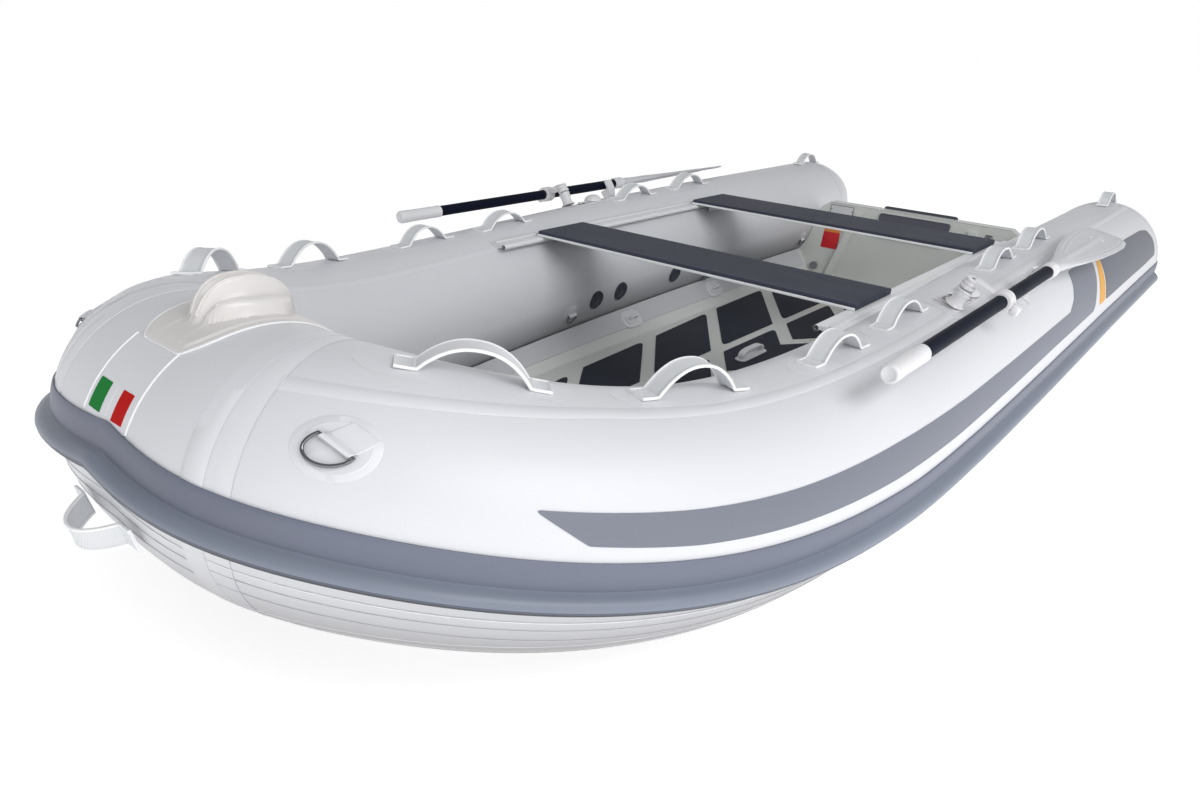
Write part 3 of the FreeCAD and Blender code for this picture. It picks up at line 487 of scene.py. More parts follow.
# near-black for the bulb's lowest part and the lower flange: painted shadow of the gap under the bulb
M_LIP_SHADOW = make_mat("strake_lip_painted_shadow", "#26282F", 0.5, 0.04, 5, 500, 0.00006, 0.06)
M_WHITE = make_mat("nylon_white", "#DADADC", 0.30, 0.02, 14, 1200, 0.00003, 0.06, spec=0.5)
M_FIT = make_mat("moulded_bow", "#D7D4D2", 0.30, 0.02, 10, 900, 0.00004, 0.06, coat=0.15, coat_rough=0.2)
M_RIM = make_mat("strap_rim", "#F3F4F5", 0.36, 0.02, 20, 900, 0.00004, 0.05)
M_WEB = make_mat("strap_woven", "#DCDEE1", 0.55, 0.03, 20, 1500, 0.00016, 0.06, ribs=("X", 2.2, 1.5), sheen=0.1)
M_GEL = make_mat("gelcoat_hull", "#D3D4D2", 0.22, 0.02, 2, 300, 0.00003, 0.05, coat=0.25, coat_rough=0.08)
M_DECK = make_mat("gelcoat_deck", "#D4D7D2", 0.30, 0.025, 3, 420, 0.00008, 0.06, coat=0.1, coat_rough=0.2)
M_PAD = make_mat("deck_pad", "#1D2231", 0.72, 0.06, 9, 650, 0.00028, 0.08)
M_BENCH = make_mat("bench_slate", "#383C4B", 0.46, 0.05, 4, 800, 0.00006, 0.07, spec=0.35, streak=(70, 0.7, 70), deep=1.0, convex_lighten=0.1)
M_ALU = make_mat("aluminium", "#C9CBCE", 0.33, 0.03, 12, 1500, 0.00003, 0.06, metal=0.9, streak=(200, 6, 200))
# white non-metal for the benches' aluminium lips: painted highlight
M_BENCH_LIP_HIGHLIGHT = make_mat("bench_lip_painted_highlight", "#F2F3F5", 0.35, 0.03, 12, 1500, 0.00003, 0.06)
M_STEEL = make_mat("polished_steel", "#7F8185", 0.2, 0.03, 20, 900, 0.00002, 0.04, metal=1.0)
M_NAVY = make_mat("shaft_navy", "#0F1424", 0.5, 0.05, 10, 900, 0.00003, 0.07, spec=0.06, streak=(4, 90, 90))
M_MPAD = make_mat("motor_pad", "#5B5A66", 0.5, 0.04, 12, 600, 0.00012, 0.06)
M_MPAD2 = make_mat("motor_pad_dark", "#41424E", 0.5, 0.04, 12, 600, 0.00012, 0.06)
M_VALVE = make_mat("valve_dark", "#3B3F4A", 0.42, 0.05, 25, 900, 0.00005, 0.06)
# near-black: painted shade inside holes, recesses, slots and sockets; also the own dark colour of the valves' small
# raised screw heads
M_DARK_HOLE_SHADE = make_mat("dark_screws_and_hole_shade", "#15171B", 0.7, 0.05, 25, 900, 0.00004, 0.05)
M_RAIL = make_mat("rail_white", "#E6E7E9", 0.38, 0.02, 8, 700, 0.00004, 0.06, streak=(2, 60, 60))
M_KEEL = make_mat("keel_guard", "#70757F", 0.5, 0.05, 5, 500, 0.0001, 0.06)
M_PLATE = make_mat("plate_blank", "#D9DBDC", 0.34, 0.02, 20, 1500, 0.00002, 0.05, metal=0.3)
M_FRAME = make_mat("plate_frame", "#7E8288", 0.4, 0.03, 20, 900, 0.00003, 0.05)
M_LABEL = make_mat("label_red", "#D3202A", 0.38, 0.02, 20, 900, 0.00002, 0.05)
M_LABEL2 = make_mat("label_orange", "#E58A3C", 0.38, 0.02, 20, 900, 0.00002, 0.05)
M_BLADE = make_mat("blade_plastic", "#C6C8CC", 0.34, 0.03, 9, 900, 0.00004, 0.06)
M_CAP = make_mat("cone_cap", "#B9BBC1", 0.42, 0.03, 14, 700, 0.00006, 0.06)


def paint_under_shade(mat, low, deep=1.0, a=-0.06, b=-0.82):
    """Painted shade: greyer, slightly warm base colour on the faces that look down, as on the tubes' undersides, darker
    than the floor's light leaves them.
    """
    nt = mat.node_tree
    bs = [n for n in nt.nodes if n.type == "BSDF_PRINCIPLED"][0]
    src = bs.inputs["Base Color"].links[0].from_socket
    ge = nt.nodes.new("ShaderNodeNewGeometry")
    sp = nt.nodes.new("ShaderNodeSeparateXYZ")
    mr = nt.nodes.new("ShaderNodeMapRange")
    mr.inputs["From Min"].default_value = a
    mr.inputs["From Max"].default_value = b
    mr.inputs["To Min"].default_value = 0.0
    mr.inputs["To Max"].default_value = deep
    mx = nt.nodes.new("ShaderNodeMix")
    mx.data_type = "RGBA"
    mx.blend_type = "MULTIPLY"
    mx.inputs[7].default_value = low
    nt.links.new(ge.outputs["Normal"], sp.inputs[0])
    nt.links.new(sp.outputs["Z"], mr.inputs["Value"])
    nt.links.new(mr.outputs[0], mx.inputs[0])
    nt.links.new(src, mx.inputs[6])
    nt.links.new(mx.outputs[2], bs.inputs["Base Color"])


# painted shade on the downward faces of the tubes, seam tapes and hull gelcoat
for m_ in (M_TUBE, M_TAPE):
    paint_under_shade(m_, (0.165, 0.156, 0.152, 1))
paint_under_shade(M_GEL, (0.50, 0.49, 0.485, 1))


def give(node, mat):
    ob = NODES[node]
    ob.data.materials.clear()
    ob.data.materials.append(mat)


for n in ("hull_bottom", "bow_step"):
    give(n, M_GEL)
for n in ("floor_deck", "transom", "transom_pillars"):
    give(n, M_DECK)
for n in ("keel_guard", "stem_guard"):
    give(n, M_KEEL)
# tube fabric tinted darker on the up-facing inner skirts: painted shade
M_SKIRT_SHADED = make_mat("pvc_skirt_painted_shade", "#C3C5C9", 0.42, 0.02, 3, 700, 0.00005, 0.05)
for n in ("inner_skirt_port", "inner_skirt_starboard"):
    give(n, M_SKIRT_SHADED)
for n in ("seat_rail_port", "seat_rail_starboard"):
    give(n, M_RAIL)
for n in ("oar_shaft_port", "oar_shaft_starboard"):
    give(n, M_NAVY)
give("stern_tow_eyes", M_STEEL)
give("seat_forward_brackets", M_ALU)
give("seat_aft_brackets", M_ALU)
give("drain_plug", M_FRAME)
give("oar_rest_port", M_WHITE)
give("oar_rest_starboard", M_WHITE)

# ---------------------------------------------------------------- air chambers
Q_SEAM = float(qu(0.875))
NV = 120
DEG = np.linspace(0, 360, NV, endpoint=False)


def relief(q, d, ends):
    """Slight unevenness of stretched fabric and the pinch where chambers join."""
    h = 0.10 * np.sin(q / 83.0 + np.radians(d) * 2) * np.sin(q / 197.0 + 1.3) + 0.06 * np.sin(q / 41.0 - np.radians(d) * 3)
    for e in ends:
        h = h - 2.2 * np.exp(-((q - e) / 7.0) ** 2)
    return h


def chamber(name, node, q0, q1, side, ends, step=17.0, caps=False):
    acc = Acc()
    n = int((q1 - q0) / step)
    q = np.linspace(q0, q1, n)
    for e in ends:
        q = np.concatenate([q, e + np.array([-14, -9, -5, 5, 9, 14])])
    q = np.unique(np.clip(q, q0, q1))[:, None]
    skin(acc, q, DEG[None, :], relief(q, DEG[None, :], ends), side, 0, cv=True)
    ob = acc.make(name, [M_TUBE])
    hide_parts(node)
    return ob


chamber("chamber_port", "tube_port", 140.0, Q_SEAM, 1, [140.0, Q_SEAM])
chamber("chamber_starboard", "tube_starboard", 140.0, Q_SEAM, -1, [140.0, Q_SEAM])
chamber("chamber_bow", "tube_bow", Q_SEAM, 2 * QB - Q_SEAM, 1, [Q_SEAM, 2 * QB - Q_SEAM], 10.0)


def cone(name, node, side):
    acc = Acc()
    q = np.linspace(X_TIP, 140.0, 30)[:, None]
    skin(acc, q, DEG[None, :], -2.2 * np.exp(-((q - 140) / 7.0) ** 2), side, 0, cv=True)
    # welded hem at the joint, hem at the tip, rounded end
    c0 = np.array([X_TIP, 636.2 * side, 340.0])
    lathe(acc, c0, (-1, 0, 0), [(0.5, 7.5, 1), (66, 7.0, 1), (71, 6, 1), (73, 2, 1), (75, 1.5, 0), (78.5, 0.8, 0), (79.5, -3, 0), (79.6, -12, 0), (79, -14, 0)], 0, 60)
    ob = acc.make(name, [M_TUBE, M_CAP])
    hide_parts(node)


cone("cone_skin_port", "cone_port", 1)
cone("cone_skin_starboard", "cone_starboard", -1)
# ring tapes, end caps
acc = Acc()
for sd in (1, -1):
    c0 = np.array([X_TIP - 7.6, 636.2 * sd, 340.0])
    lathe(acc, c0, (-1, 0, 0), [(0.5, 0.4), (12, 0.4), (13, -0.6), (58, -0.6), (60, 0.4), (68, 0.3), (71, -1.5), (72, -7.4)], 0, 60)
ob = acc.make("cone_end_caps", [M_CAP])
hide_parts("cone_caps")

acc = Acc()


def ring_tape(q0, q1, h, d0=-180.0, d1=180.0, side=1, mat=0):
    n = 100
    d = np.linspace(d0, d1, n)
    qs = np.array([q0, q0 + 0.8, (q0 + q1) / 2, q1 - 0.8, q1])
    hs = np.array([0.0, h, h, h, 0.0])
    skin(acc, np.repeat(qs[:, None], n, 1), np.repeat(d[None], 5, 0), np.repeat(hs[:, None], n, 1), side, mat)


def long_tape(deg_of, w, h, q0, q1, side=1, mat=0, step=25.0):
    qs = np.linspace(q0, q1, int((q1 - q0) / step) + 2)
    dc = np.array([deg_of(q) for q in qs])
    k = 3.55
    off = np.array([-w / 2, -w / 2 + 0.8, 0, w / 2 - 0.8, w / 2]) / k
    hs = np.array([0.0, h, h, h, 0.0])
    skin(acc, np.repeat(qs[:, None], 5, 1), dc[:, None] + off[None], np.repeat(hs[None], len(qs), 0), side, mat)


for qc in (Q_SEAM, 2 * QB - Q_SEAM):
    s = 1 if qc < QB else -1
    ring_tape(qc - 34 if s > 0 else qc - 14, qc + 14 if s > 0 else qc + 34, 0.45)
    ring_tape(qc - 9 if s > 0 else qc - 16, qc + 16 if s > 0 else qc + 9, 1.0)
for sd in (1, -1):
    ring_tape(128, 160, 0.8, side=sd)
    ring_tape(96, 128, 0.4, side=sd)
    # lengthwise laps: on top, inboard, and the pair under the tube
    long_tape(lambda q: np.interp(q, [140, 2000, qu(0.68), Q_SEAM], [75, 75, 74.5, 64]), 24, 0.5, 150, Q_SEAM - 30, sd)
    long_tape(lambda q: 121.0, 22, 0.4, qx(1100), Q_SEAM - 40, sd)
    long_tape(lambda q: -62.0, 26, 0.6, 150, QB if sd > 0 else QB, sd)
    long_tape(lambda q: -44.0, 16, 0.5, 150, QB, sd)
    long_tape(lambda q: -36.0, 5, 0.5, 150, QB, sd)


def ring_hair(q, h, r=0.45, d0=-176.0, d1=176.0, side=1):
    n = 110
    d = np.linspace(d0, d1, n)
    path_tube(acc, P(np.full(n, q), d, h, side), r, 1, 6)


for qc in (Q_SEAM, 2 * QB - Q_SEAM):
    s = 1 if qc < QB else -1
    for o in (-34, -9, 14):
        ring_hair(qc + o * s, 0.5)
for sd in (1, -1):
    for q in (96, 128, 160):
        ring_hair(q, 0.5, side=sd)
ob = acc.make("seam_tapes", [M_TAPE, M_SEAM_LINE_CREASE_SHADE])

# ---------------------------------------------------------------- rubbing strake
# profile rows (distance down from the top, height, material): 0 band, 1 bulb, 3 painted shade on the bulb's lower half,
# 2 painted shadow of the gap under the bulb, over its lowest part and the lower flange
PROF = [(0, 0.1, 0), (0, 3.4, 0), (1.5, 4.2, 0), (14, 4.6, 0), (30, 4.5, 0), (42.6, 3.8, 1), (43.8, 5.6, 1), (45.2, 11.6, 1), (47.8, 18.2, 1), (51.4, 23.4, 1),
        (55.6, 26, 1), (59.5, 26.7, 3), (63.2, 26, 2), (65.6, 24.8, 2), (67.8, 23.2, 2), (71.4, 18, 2), (73.8, 12, 2), (75, 6, 2), (75.6, 3.4, 2), (78, 4.1, 2), (83, 4.0, 2), (85, 3.0, 2), (85.4, 0.1, 2)]


def strake_top(q):
    qq = np.where(q > QB, 2 * QB - q, q)
    u = np.interp(qq, QQ, U)
    return 2.27 + 24.9 * np.clip((u - 0.5) / 0.5, 0, 1)


def strake(name, node, q0, q1, side):
    acc = Acc()
    n = int((q1 - q0) / 16) + 2
    q = np.linspace(q0, q1, n)
    s = np.array([p[0] for p in PROF])
    h = np.array([p[1] for p in PROF])
    r = np.interp(np.where(q > QB, 2 * QB - q, q), TQ, TR) + 3
    d = strake_top(q)[:, None] - s[None] * (180 / math.pi) / r[:, None]
    H = np.repeat(h[None], n, 0)
    if q0 < 140:
        f = np.clip((q - q0) / 22.0, 0, 1)[:, None] ** 0.5
        H = np.where(H > 4.5, 4.0 + (H - 4.0) * f, H)
        d = np.concatenate([d[:1], d])
        H = np.concatenate([0 * H[:1], H])
        q = np.concatenate([q[:1], q])
    mats = np.array([PROF[i][2] for i in range(len(PROF) - 1)])
    Qg = np.repeat(q[:, None], len(s), 1)
    G = P(Qg, d, H, side)
    acc.grid(G, np.repeat(mats[None], len(q) - 1, 0), ref=P(Qg, d, H + 5, side) - G, uv=np.stack([Qg, d * 3.6], -1))
    ob = acc.make(name, [M_BAND, M_BULB, M_LIP_SHADOW, M_BULB_SHADED], sharp=32)
    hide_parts(node)


strake("strake_port", "rub_strake_port", 93.0, Q_SEAM, 1)
strake("strake_starboard", "rub_strake_starboard", 93.0, Q_SEAM, -1)
strake("strake_bow", "rub_strake_bow", Q_SEAM, 2 * QB - Q_SEAM, 1)

# lengthwise seam lines that follow the strake on the tube's underside
acc = Acc()
for sd in (1, -1):
    for off, mt, r in ((28.0, 0, 0.9), (33.0, 1, 0.45), (40.5, 1, 0.45)):
        qs = np.linspace(170, QB, 150)
        path_tube(acc, P(qs, strake_top(qs) - off, 0.6, sd), r, mt, 6)
ob = acc.make("under_seams", [M_EDGE, M_SEAM_LINE_CREASE_SHADE])

# ---------------------------------------------------------------- coloured panels on the tube sides
for sd, nm in ((1, "port"), (-1, "starboard")):
    acc = Acc()
    stripe = [(qu(0.716), 31), (qu(0.640), 29.3), (qu(0.586), 28.7), (qu(0.514), 28.5), (qu(0.446), 27.2), (qu(0.358), 26.8), (1417, 26.5),
              (1352, 33), (1305, 42), (1267, 53), (1029, 53), (1040, 45.5), (1075, 36), (1120, 26), (1165, 15), (1186, 12.3),
              (qu(0.32), 12.4), (qu(0.414), 11.4), (qu(0.46), 10.6), (qu(0.52), 11.0), (qu(0.589), 13.2), (qu(0.640), 15.0), (qu(0.690), 18.0)]
    rad = [3, 0, 0, 0, 0, 0, 14, 0, 0, 22, 10, 0, 0, 0, 0, 40, 0, 0, 0, 0, 0, 0, 12]
    area(acc, stripe, rad, 0.9, sd, 0, step=9, rows=11)
    ob = acc.make("side_stripe_" + nm, [M_STRIPE])
    acc = Acc()
    area(acc, [(952, 46.5), (640, 47.5), (330, 45.5), (240, 42), (195, 29), (218, 14), (400, 12.8), (1029, 12.8), (1004, 24), (981, 34), (963, 42)],
         [6, 0, 30, 40, 60, 24, 0, 8, 0, 0, 0], 0.9, sd, 0, step=9, rows=11)
    area(acc, [(1000, 46), (1039, 36.5), (1077, 26), (1097, 19), (1110, 12.8), (1042, 12.8), (1022, 22), (996, 33), (972, 42), (962, 46)],
         [2] * 10, 0.95, sd, 1, step=3, rows=9)
    ob = acc.make("stern_panel_" + nm, [M_PANEL, M_YELLOW])

# badge field on the nose
acc = Acc()
kb = kdeg(QB)


def nose(y0, y1, d0, d1, h, mat, rad):
    area(acc, [(QB - y1, d0), (QB - y1, d1), (QB - y0, d1), (QB - y0, d0)], rad, h, 1, mat, step=4, k=kb, rows=8)


nose(-84, 62, 25.5, 62.0, 0.8, 0, 5)
nose(-75, -39, 27.8, 40.4, 1.2, 1, 1)
nose(5, 43, 27.8, 40.4, 1.2, 2, 1)
for y in (-84, 62, -18):
    side = y != -18
    d = np.linspace(26, 62 if side else 40, 30)
    yy = np.full_like(d, y)
    path_tube(acc, P(QB - yy, d, 0.9 if side else 0.7), 1.5 if side else 0.6, 3 if side else 0, 8)
ob = acc.make("nose_badge", [M_TAPE, M_GREEN, M_RED, M_EDGE])

# ---------------------------------------------------------------- grab handles
HANDLES = [(0.7916, 0.7091, 89.9), (0.6440, 0.5791, 88.6), (0.5286, 0.4817, 89.0), (0.4582, 0.4124, 92.8),
           (0.3184, 0.2664, 93.7), (0.2378, 0.1666, 93.7)]
HANDLES[0] = (0.8010, 0.7025, 89.9)
HANDLES[1] = (0.6500, 0.5785, 88.6)
HQ = [(float(qu(a)), float(qu(b)), d) for a, b, d in HANDLES] + [(285.0, 95.0, 91.7)]


HH = [48.0, 52.0, 45.0, 42.0, 43.0, 46.0, 43.0]


def strap_section(w, m):
    """Half profile of the strap, closed: rims along both edges, woven middle."""
    t = []
    for x, z in ((-w / 2, 0.5), (-w / 2 + 0.5, 2.1), (-w / 2 + 1.8, 2.7), (-w / 2 + 3.6, 2.4), (-w / 2 + 4.4, m), (-w / 4, m * 0.96), (0, m * 0.94),
                 (w / 4, m * 0.96), (w / 2 - 4.4, m), (w / 2 - 3.6, 2.4), (w / 2 - 1.8, 2.7), (w / 2 - 0.5, 2.1), (w / 2, 0.5)):
        t.append((x, z))
    return t + [(x, -z) for x, z in reversed(t)]


SEC_MAT = [0, 0, 0, 0, 1, 1, 1, 1, 0, 0, 0, 0, 0, 0, 0, 0, 0, 1, 1, 1, 1, 0, 0, 0, 0, 0]


def strap(acc, pa, pb, up, lift, h, w, tab_len, n=38):
    ax = unit(pa - pb)
    ln = np.linalg.norm(pa - pb)
    up = unit(up - ax * (up @ ax))
    wd = np.cross(ax, up)
    mid = (pa + pb) / 2 + up * lift
    Lh, a = ln / 2, ln / 2 - tab_len
    pth = [(Lh, 2.0, 2.6), (Lh - 2.6, 2.0, 2.6), (Lh - 3.8, 2.0, 1.4), (Lh - tab_len * 0.5, 2.0, 1.4), (a + 7, 2.0, 1.4), (a + 5.4, 2.0, 2.6), (a + 2.4, 2.2, 2.6)]
    for i in range(1, n):
        c = math.cos(math.pi * i / n)
        pth.append((a * c, 2.2 + (h - 4.6) * (1 - abs(c) ** 2.25) ** 0.97, 1.5))
    pth += [(-s, z, m) for s, z, m in reversed(pth[:7])]
    pp = np.array([(s, z) for s, z, _ in pth])
    tg = np.gradient(pp, axis=0)
    tg /= np.linalg.norm(tg, axis=1)[:, None]
    G = []
    for (s, z, m), t in zip(pth, tg):
        nrm = np.array([t[1], -t[0]])
        G.append([mid + ax * (s + nrm[0] * b) + up * (z + nrm[1] * b) + wd * c for c, b in strap_section(w, m)])
    G = np.array(G)
    acc.grid(G, np.repeat(np.array(SEC_MAT)[None], len(G) - 1, 0), cv=True, caps=True)


def skin_handle(acc, qa, qb, deg, side, h=58.0, w=44.0, tab_len=30.0):
    pa, pb = P(qa, deg), P(qb, deg)
    qm = (qa + qb) / 2
    up = P(qm, deg, 1) - P(qm, deg, 0)
    ax = unit(pa - pb)
    upn = unit(up - ax * (up @ ax))
    lift = 0.0
    for q in np.linspace(qb, qa, 41):
        v = P(q, deg) - (pa + pb) / 2
        if abs(v @ ax) > np.linalg.norm(pa - pb) / 2 - 32:
            lift = max(lift, float(v @ upn))
    m = np.array([1, side, 1])
    strap(acc, pa * m, pb * m, up * m, lift + 0.5, h, w, tab_len)


for sd, nm in ((1, "port"), (-1, "starboard")):
    acc = Acc()
    for i, (qa, qb, d) in enumerate(HQ):
        small = i == 6
        skin_handle(acc, qa, qb, d, sd, HH[i], 38.0 if small else 44.0, 28.0 if small else 32.0)
    ob = acc.make("handles_" + nm, [M_RIM, M_WEB], sharp=50)
    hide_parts("grab_handles_" + nm)
    acc = Acc()
    for i, (qa, qb, d) in enumerate(HQ):
        k = 3.57
        lo, hi = qb - 46, qa + 56
        if i == 6:
            lo, hi = 70, 315
        area(acc, [(lo, d), (lo + 34, d + 34 / k), (hi - 40, d + 38 / k), (hi, d), (hi - 40, d - 38 / k), (lo + 34, d - 34 / k)], [22, 40, 40, 26, 40, 40], 0.55, sd, 0, step=12, k=k)
    ob = acc.make("handle_patches_" + nm, [M_TAPE])

acc = Acc()
cc = P(QB, -12.0, 0.0)
rd = unit(P(QB, -12.0, 1.0) - P(QB, -12.0, 0.0))
strap(acc, cc + np.array([0, 93.0, 0]), cc - np.array([0, 93.0, 0]), rd, 9.0, 52.0, 42.0, 30.0)
ob = acc.make("tow_strap", [M_RIM, M_WEB], sharp=50)
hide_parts("tow_handle_bow")

# ---------------------------------------------------------------- fittings on the tubes
def d_ring(acc, q, deg, along_q, along_d, side, k=1.0, patch=34.0, rings=True, tall=1.0):
    """Patch, strap tab and steel ring; along_* is the direction the ring points to, in mm."""
    ld = math.hypot(along_q, along_d)
    aq, ad = along_q / ld, along_d / ld
    kd = kdeg(q)
    pt = lambda a, s, h: P(q + aq * a - ad * s, deg + (ad * a + aq * s) / kd, h, side)
    disc(acc, q, deg, patch, patch * tall, [(0.001, 0.8), (0.5, 0.8), (0.975, 0.8), (1, 0)], side, 0)
    if rings:
        disc(acc, q, deg, patch * 0.8, patch * 0.8 * tall, [(0.001, 1.5), (0.97, 1.5), (1, 0.5)], side, 0)
    # tab
    w, l = 15 * k, 27 * k
    rows = [(-l, 0.8), (-l, 2.6), (-l + 1, 3.0), (-6 * k, 3.2), (-4.5 * k, 5.5), (-2 * k, 10.0), (0, 11.6), (2.2 * k, 10.4), (3.6 * k, 6.5), (3.6 * k, 1.2)]
    G = np.array([[pt(a, s, h - (0.0 if abs(s) < w - 0.5 else min(h, 1.4))) for s in (-w, -w + 1, -w / 2, 0, w / 2, w - 1, w)] for a, h in rows])
    up = P(q, deg, 5, side) - P(q, deg, 0, side)
    acc.grid(G, 0, ref=np.broadcast_to(up, G.shape))
    path_tube(acc, [pt(0, s, 7.4) for s in np.linspace(-w * 0.92, w * 0.92, 7)], 4.0, 0, 12)
    th = np.linspace(0, math.pi, 25)
    pts = [pt(24 * k * math.sin(t) ** 0.85 if math.sin(t) > 0 else 0, 18 * k * math.cos(t), 7.4 - 1.5 * math.sin(t)) for t in th]
    pts += [pt(0, s, 7.4) for s in np.linspace(-17 * k, 17 * k, 8)[1:-1]]
    path_tube(acc, pts, 2.2 * k, 1, 12, closed=True)


for sd, nm in ((1, "port"), (-1, "starboard")):
    acc = Acc()
    d_ring(acc, float(qu(0.807)), 44.5 if sd > 0 else 43.0, 26.0 if sd > 0 else -6.0, -34.0, sd, 1.2 if sd > 0 else 1.0, 38.0, tall=1.2)
    for x, dg in ((2025.0, 199.5), (1236.5, 208.0), (505.0, 201.5)):
        d_ring(acc, float(qx(x)), dg, 0.0, 1.0, sd, 1.15, 40.0)
    ob = acc.make("d_ring_set_" + nm, [M_TAPE, M_STEEL])
    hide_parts("d_rings_" + nm)
    acc = Acc()
    for x, dg in ((1909.0, 193.0), (1784.0, 192.5), (1472.0, 194.0)):
        q = float(qx(x))
        disc(acc, q, dg, 32, 32, [(0.001, 2.5), (0.45, 2.5), (0.47, 3.6), (0.78, 4.0), (0.80, 2.4), (0.84, 2.4), (0.86, 3.6), (0.96, 3.0), (1, 0)], sd, 0, n=56)
        for a in range(6):
            th = a * math.pi / 3 + 0.3
            disc(acc, q + 20 * math.cos(th), dg + 20 * math.sin(th) / kdeg(q), 2.2, 2.2, [(0.001, 4.9), (0.7, 4.8), (1, 3.6)], sd, 1, n=10)
        disc(acc, q, dg, 11, 11, [(0.001, 4.2), (0.6, 4.2), (0.75, 3.0), (1, 2.4)], sd, 0, n=24)
    ob = acc.make("valve_set_" + nm, [M_VALVE, M_DARK_HOLE_SHADE])
    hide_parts("valves_" + nm)

# ---------------------------------------------------------------- benches
def bench(name, node, xf, body):
    acc = Acc()
    z0, z1 = 473.0, 489.0
    pr = [(xf - 4, z0), (xf - 0.6, z0 + 1.6), (xf, z0 + 5), (xf, z1 - 6), (xf - 1.2, z1 - 2.4), (xf - 4, z1 - 0.6), (xf - 7, z1 - 0.2)]
    n = 21
    p = (203 - 15.0) / n
    for i in range(n):
        x = xf - 7.5 - i * p
        pr += [(x - 0.6, z1 - 0.1), (x - p * 0.55, z1), (x - p * 0.66, z1 - 1.3), (x - p * 0.9, z1 - 1.3)]
    pr += [(xf - 196, z1 - 0.2), (xf - 199, z1 - 0.6), (xf - 201.8, z1 - 2.4), (xf - 203, z1 - 6), (xf - 203, z0 + 5), (xf - 202.4, z0 + 1.6), (xf - 199, z0)]
    pr = np.array(pr)
    ys = np.array([-502, -501, -499.5] + list(np.linspace(-480, 480, 9)) + [499.5, 501, 502.0])
    sc = np.array([0.985, 0.995, 1] + [1] * 9 + [1, 0.995, 0.985])
    c = np.array([xf - 101.5, (z0 + z1) / 2])
    G = np.array([[(c[0] + (x - c[0]) * (1 - (1 - s) * 0.4), y, c[1] + (z - c[1]) * (1 - (1 - s) * 6)) for x, z in pr] for y, s in zip(ys, sc)])
    acc.grid(G, 0, cv=True, caps=True)
    # aluminium lips under both long edges, white and non-metal as a painted highlight so they read bright though they
    # face down into shade
    for x0, sg in ((xf, 1), (xf - 203.0, -1)):
        q = [(x0 - sg * 2, z0 + 0.5), (x0 + sg * 2.2, z0 + 0.3), (x0 + sg * 3.2, z0 + 1.2), (x0 + sg * 3.2, z0 + 5.6), (x0 + sg * 2.2, z0 + 6.8), (x0 - sg * 2, z0 + 7.0)]
        G = np.array([[(x, y, z) for x, z in q] for y in (-501, -300, 0, 300, 501)])
        acc.grid(G, 1, cv=True, caps=True)
    ob = acc.make(name, [M_BENCH, M_BENCH_LIP_HIGHLIGHT], body, sharp=30)
    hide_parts(node)


bench("bench_forward", "seat_forward", 2104.5, "seat_forward_body")
bench("bench_aft", "seat_aft", 1298.8, "seat_aft_body")

# ---------------------------------------------------------------- deck pads
def clip_x(poly, x0, x1):
    for lim, sg in ((x0, 1), (x1, -1)):
        out = []
        for i in range(len(poly)):
            a, b = np.array(poly[i - 1]), np.array(poly[i])
            ia, ib = sg * (a[0] - lim) >= 0, sg * (b[0] - lim) >= 0
            if ia != ib:
                t = (lim - a[0]) / (b[0] - a[0])
                out.append(tuple(a + t * (b - a)))
            if ib:
                out.append(tuple(b))
        poly = out
    return poly


acc = Acc()
SL = 1.38
YI, YC = 134.0, 98.0


def yo(x):
    return float(np.interp(x, [400, 910, 1260, 1691, 2087, 2350, 2600, 2760], [392, 391, 377, 346, 325, 296, 252, 214]))


def pad(poly):
    poly = clip_x(poly, 497, 2742)
    if len(poly) < 3:
        return
    a = np.array(poly)
    if (a[:, 0].max() - a[:, 0].min()) < 40:
        return
    s = 0.5 * abs(np.sum(a[:, 0] * np.roll(a[:, 1], -1) - np.roll(a[:, 0], -1) * a[:, 1]))
    if s < 4000:
        return
    plate(acc, round_poly(a, 13, 5), (0, 0, 98.2), (1, 0, 0), (0, 1, 0), (0, 0, 1), 2.6, 0.8)


for x0, x1 in ((2900, 2572), (2500, 2159), (2087, 1767), (1691, 1350), (1272, 922), (848, 500), (426, 100)):
    for sg in (1, -1):
        o0, o1 = yo(x0), yo(x1)
        p = [(x0, sg * o0), (x1, sg * o1), (x1 + SL * (o1 - YI), sg * YI), (x0 + SL * (o0 - YI), sg * YI)]
        if sg < 0:
            p = p[::-1]
        pad(p)
for x0 in (2906, 2490, 2073, 1656, 1239, 822, 405):
    x1 = x0 - 332
    p = [(x0, YC), (x1, YC), (x1 + SL * YC, 0), (x1, -YC), (x0, -YC), (x0 + SL * YC, 0)]
    q = clip_x(p, 497, 2742)
    if len(q) >= 3:
        a = np.array(q)
        if a[:, 0].max() - a[:, 0].min() > 60:
            # chevron halves keep the plate convex
            for sg in (1, -1):
                hp = [(x0, sg * YC), (x1, sg * YC), (x1 + SL * YC, 0), (x0 + SL * YC, 0)]
                if sg < 0:
                    hp = hp[::-1]
                hp = clip_x(hp, 497, 2742)
                if len(hp) >= 3:
                    hp = np.array(hp)
                    if 0.5 * abs(np.sum(hp[:, 0] * np.roll(hp[:, 1], -1) - np.roll(hp[:, 0], -1) * hp[:, 1])) > 2500:
                        rad = [13 if abs(v[1]) > 1 else 0.0 for v in hp]
                        plate(acc, round_poly(hp, rad, 5), (0, 0, 98.2), (1, 0, 0), (0, 1, 0), (0, 0, 1), 2.6, 0.05)
ob = acc.make("deck_pads", [M_PAD])

# ---------------------------------------------------------------- moulded bow fitting
def sm(a, b, x):
    t = np.clip((x - a) / (b - a), 0, 1)
    return t * t * (3 - 2 * t)


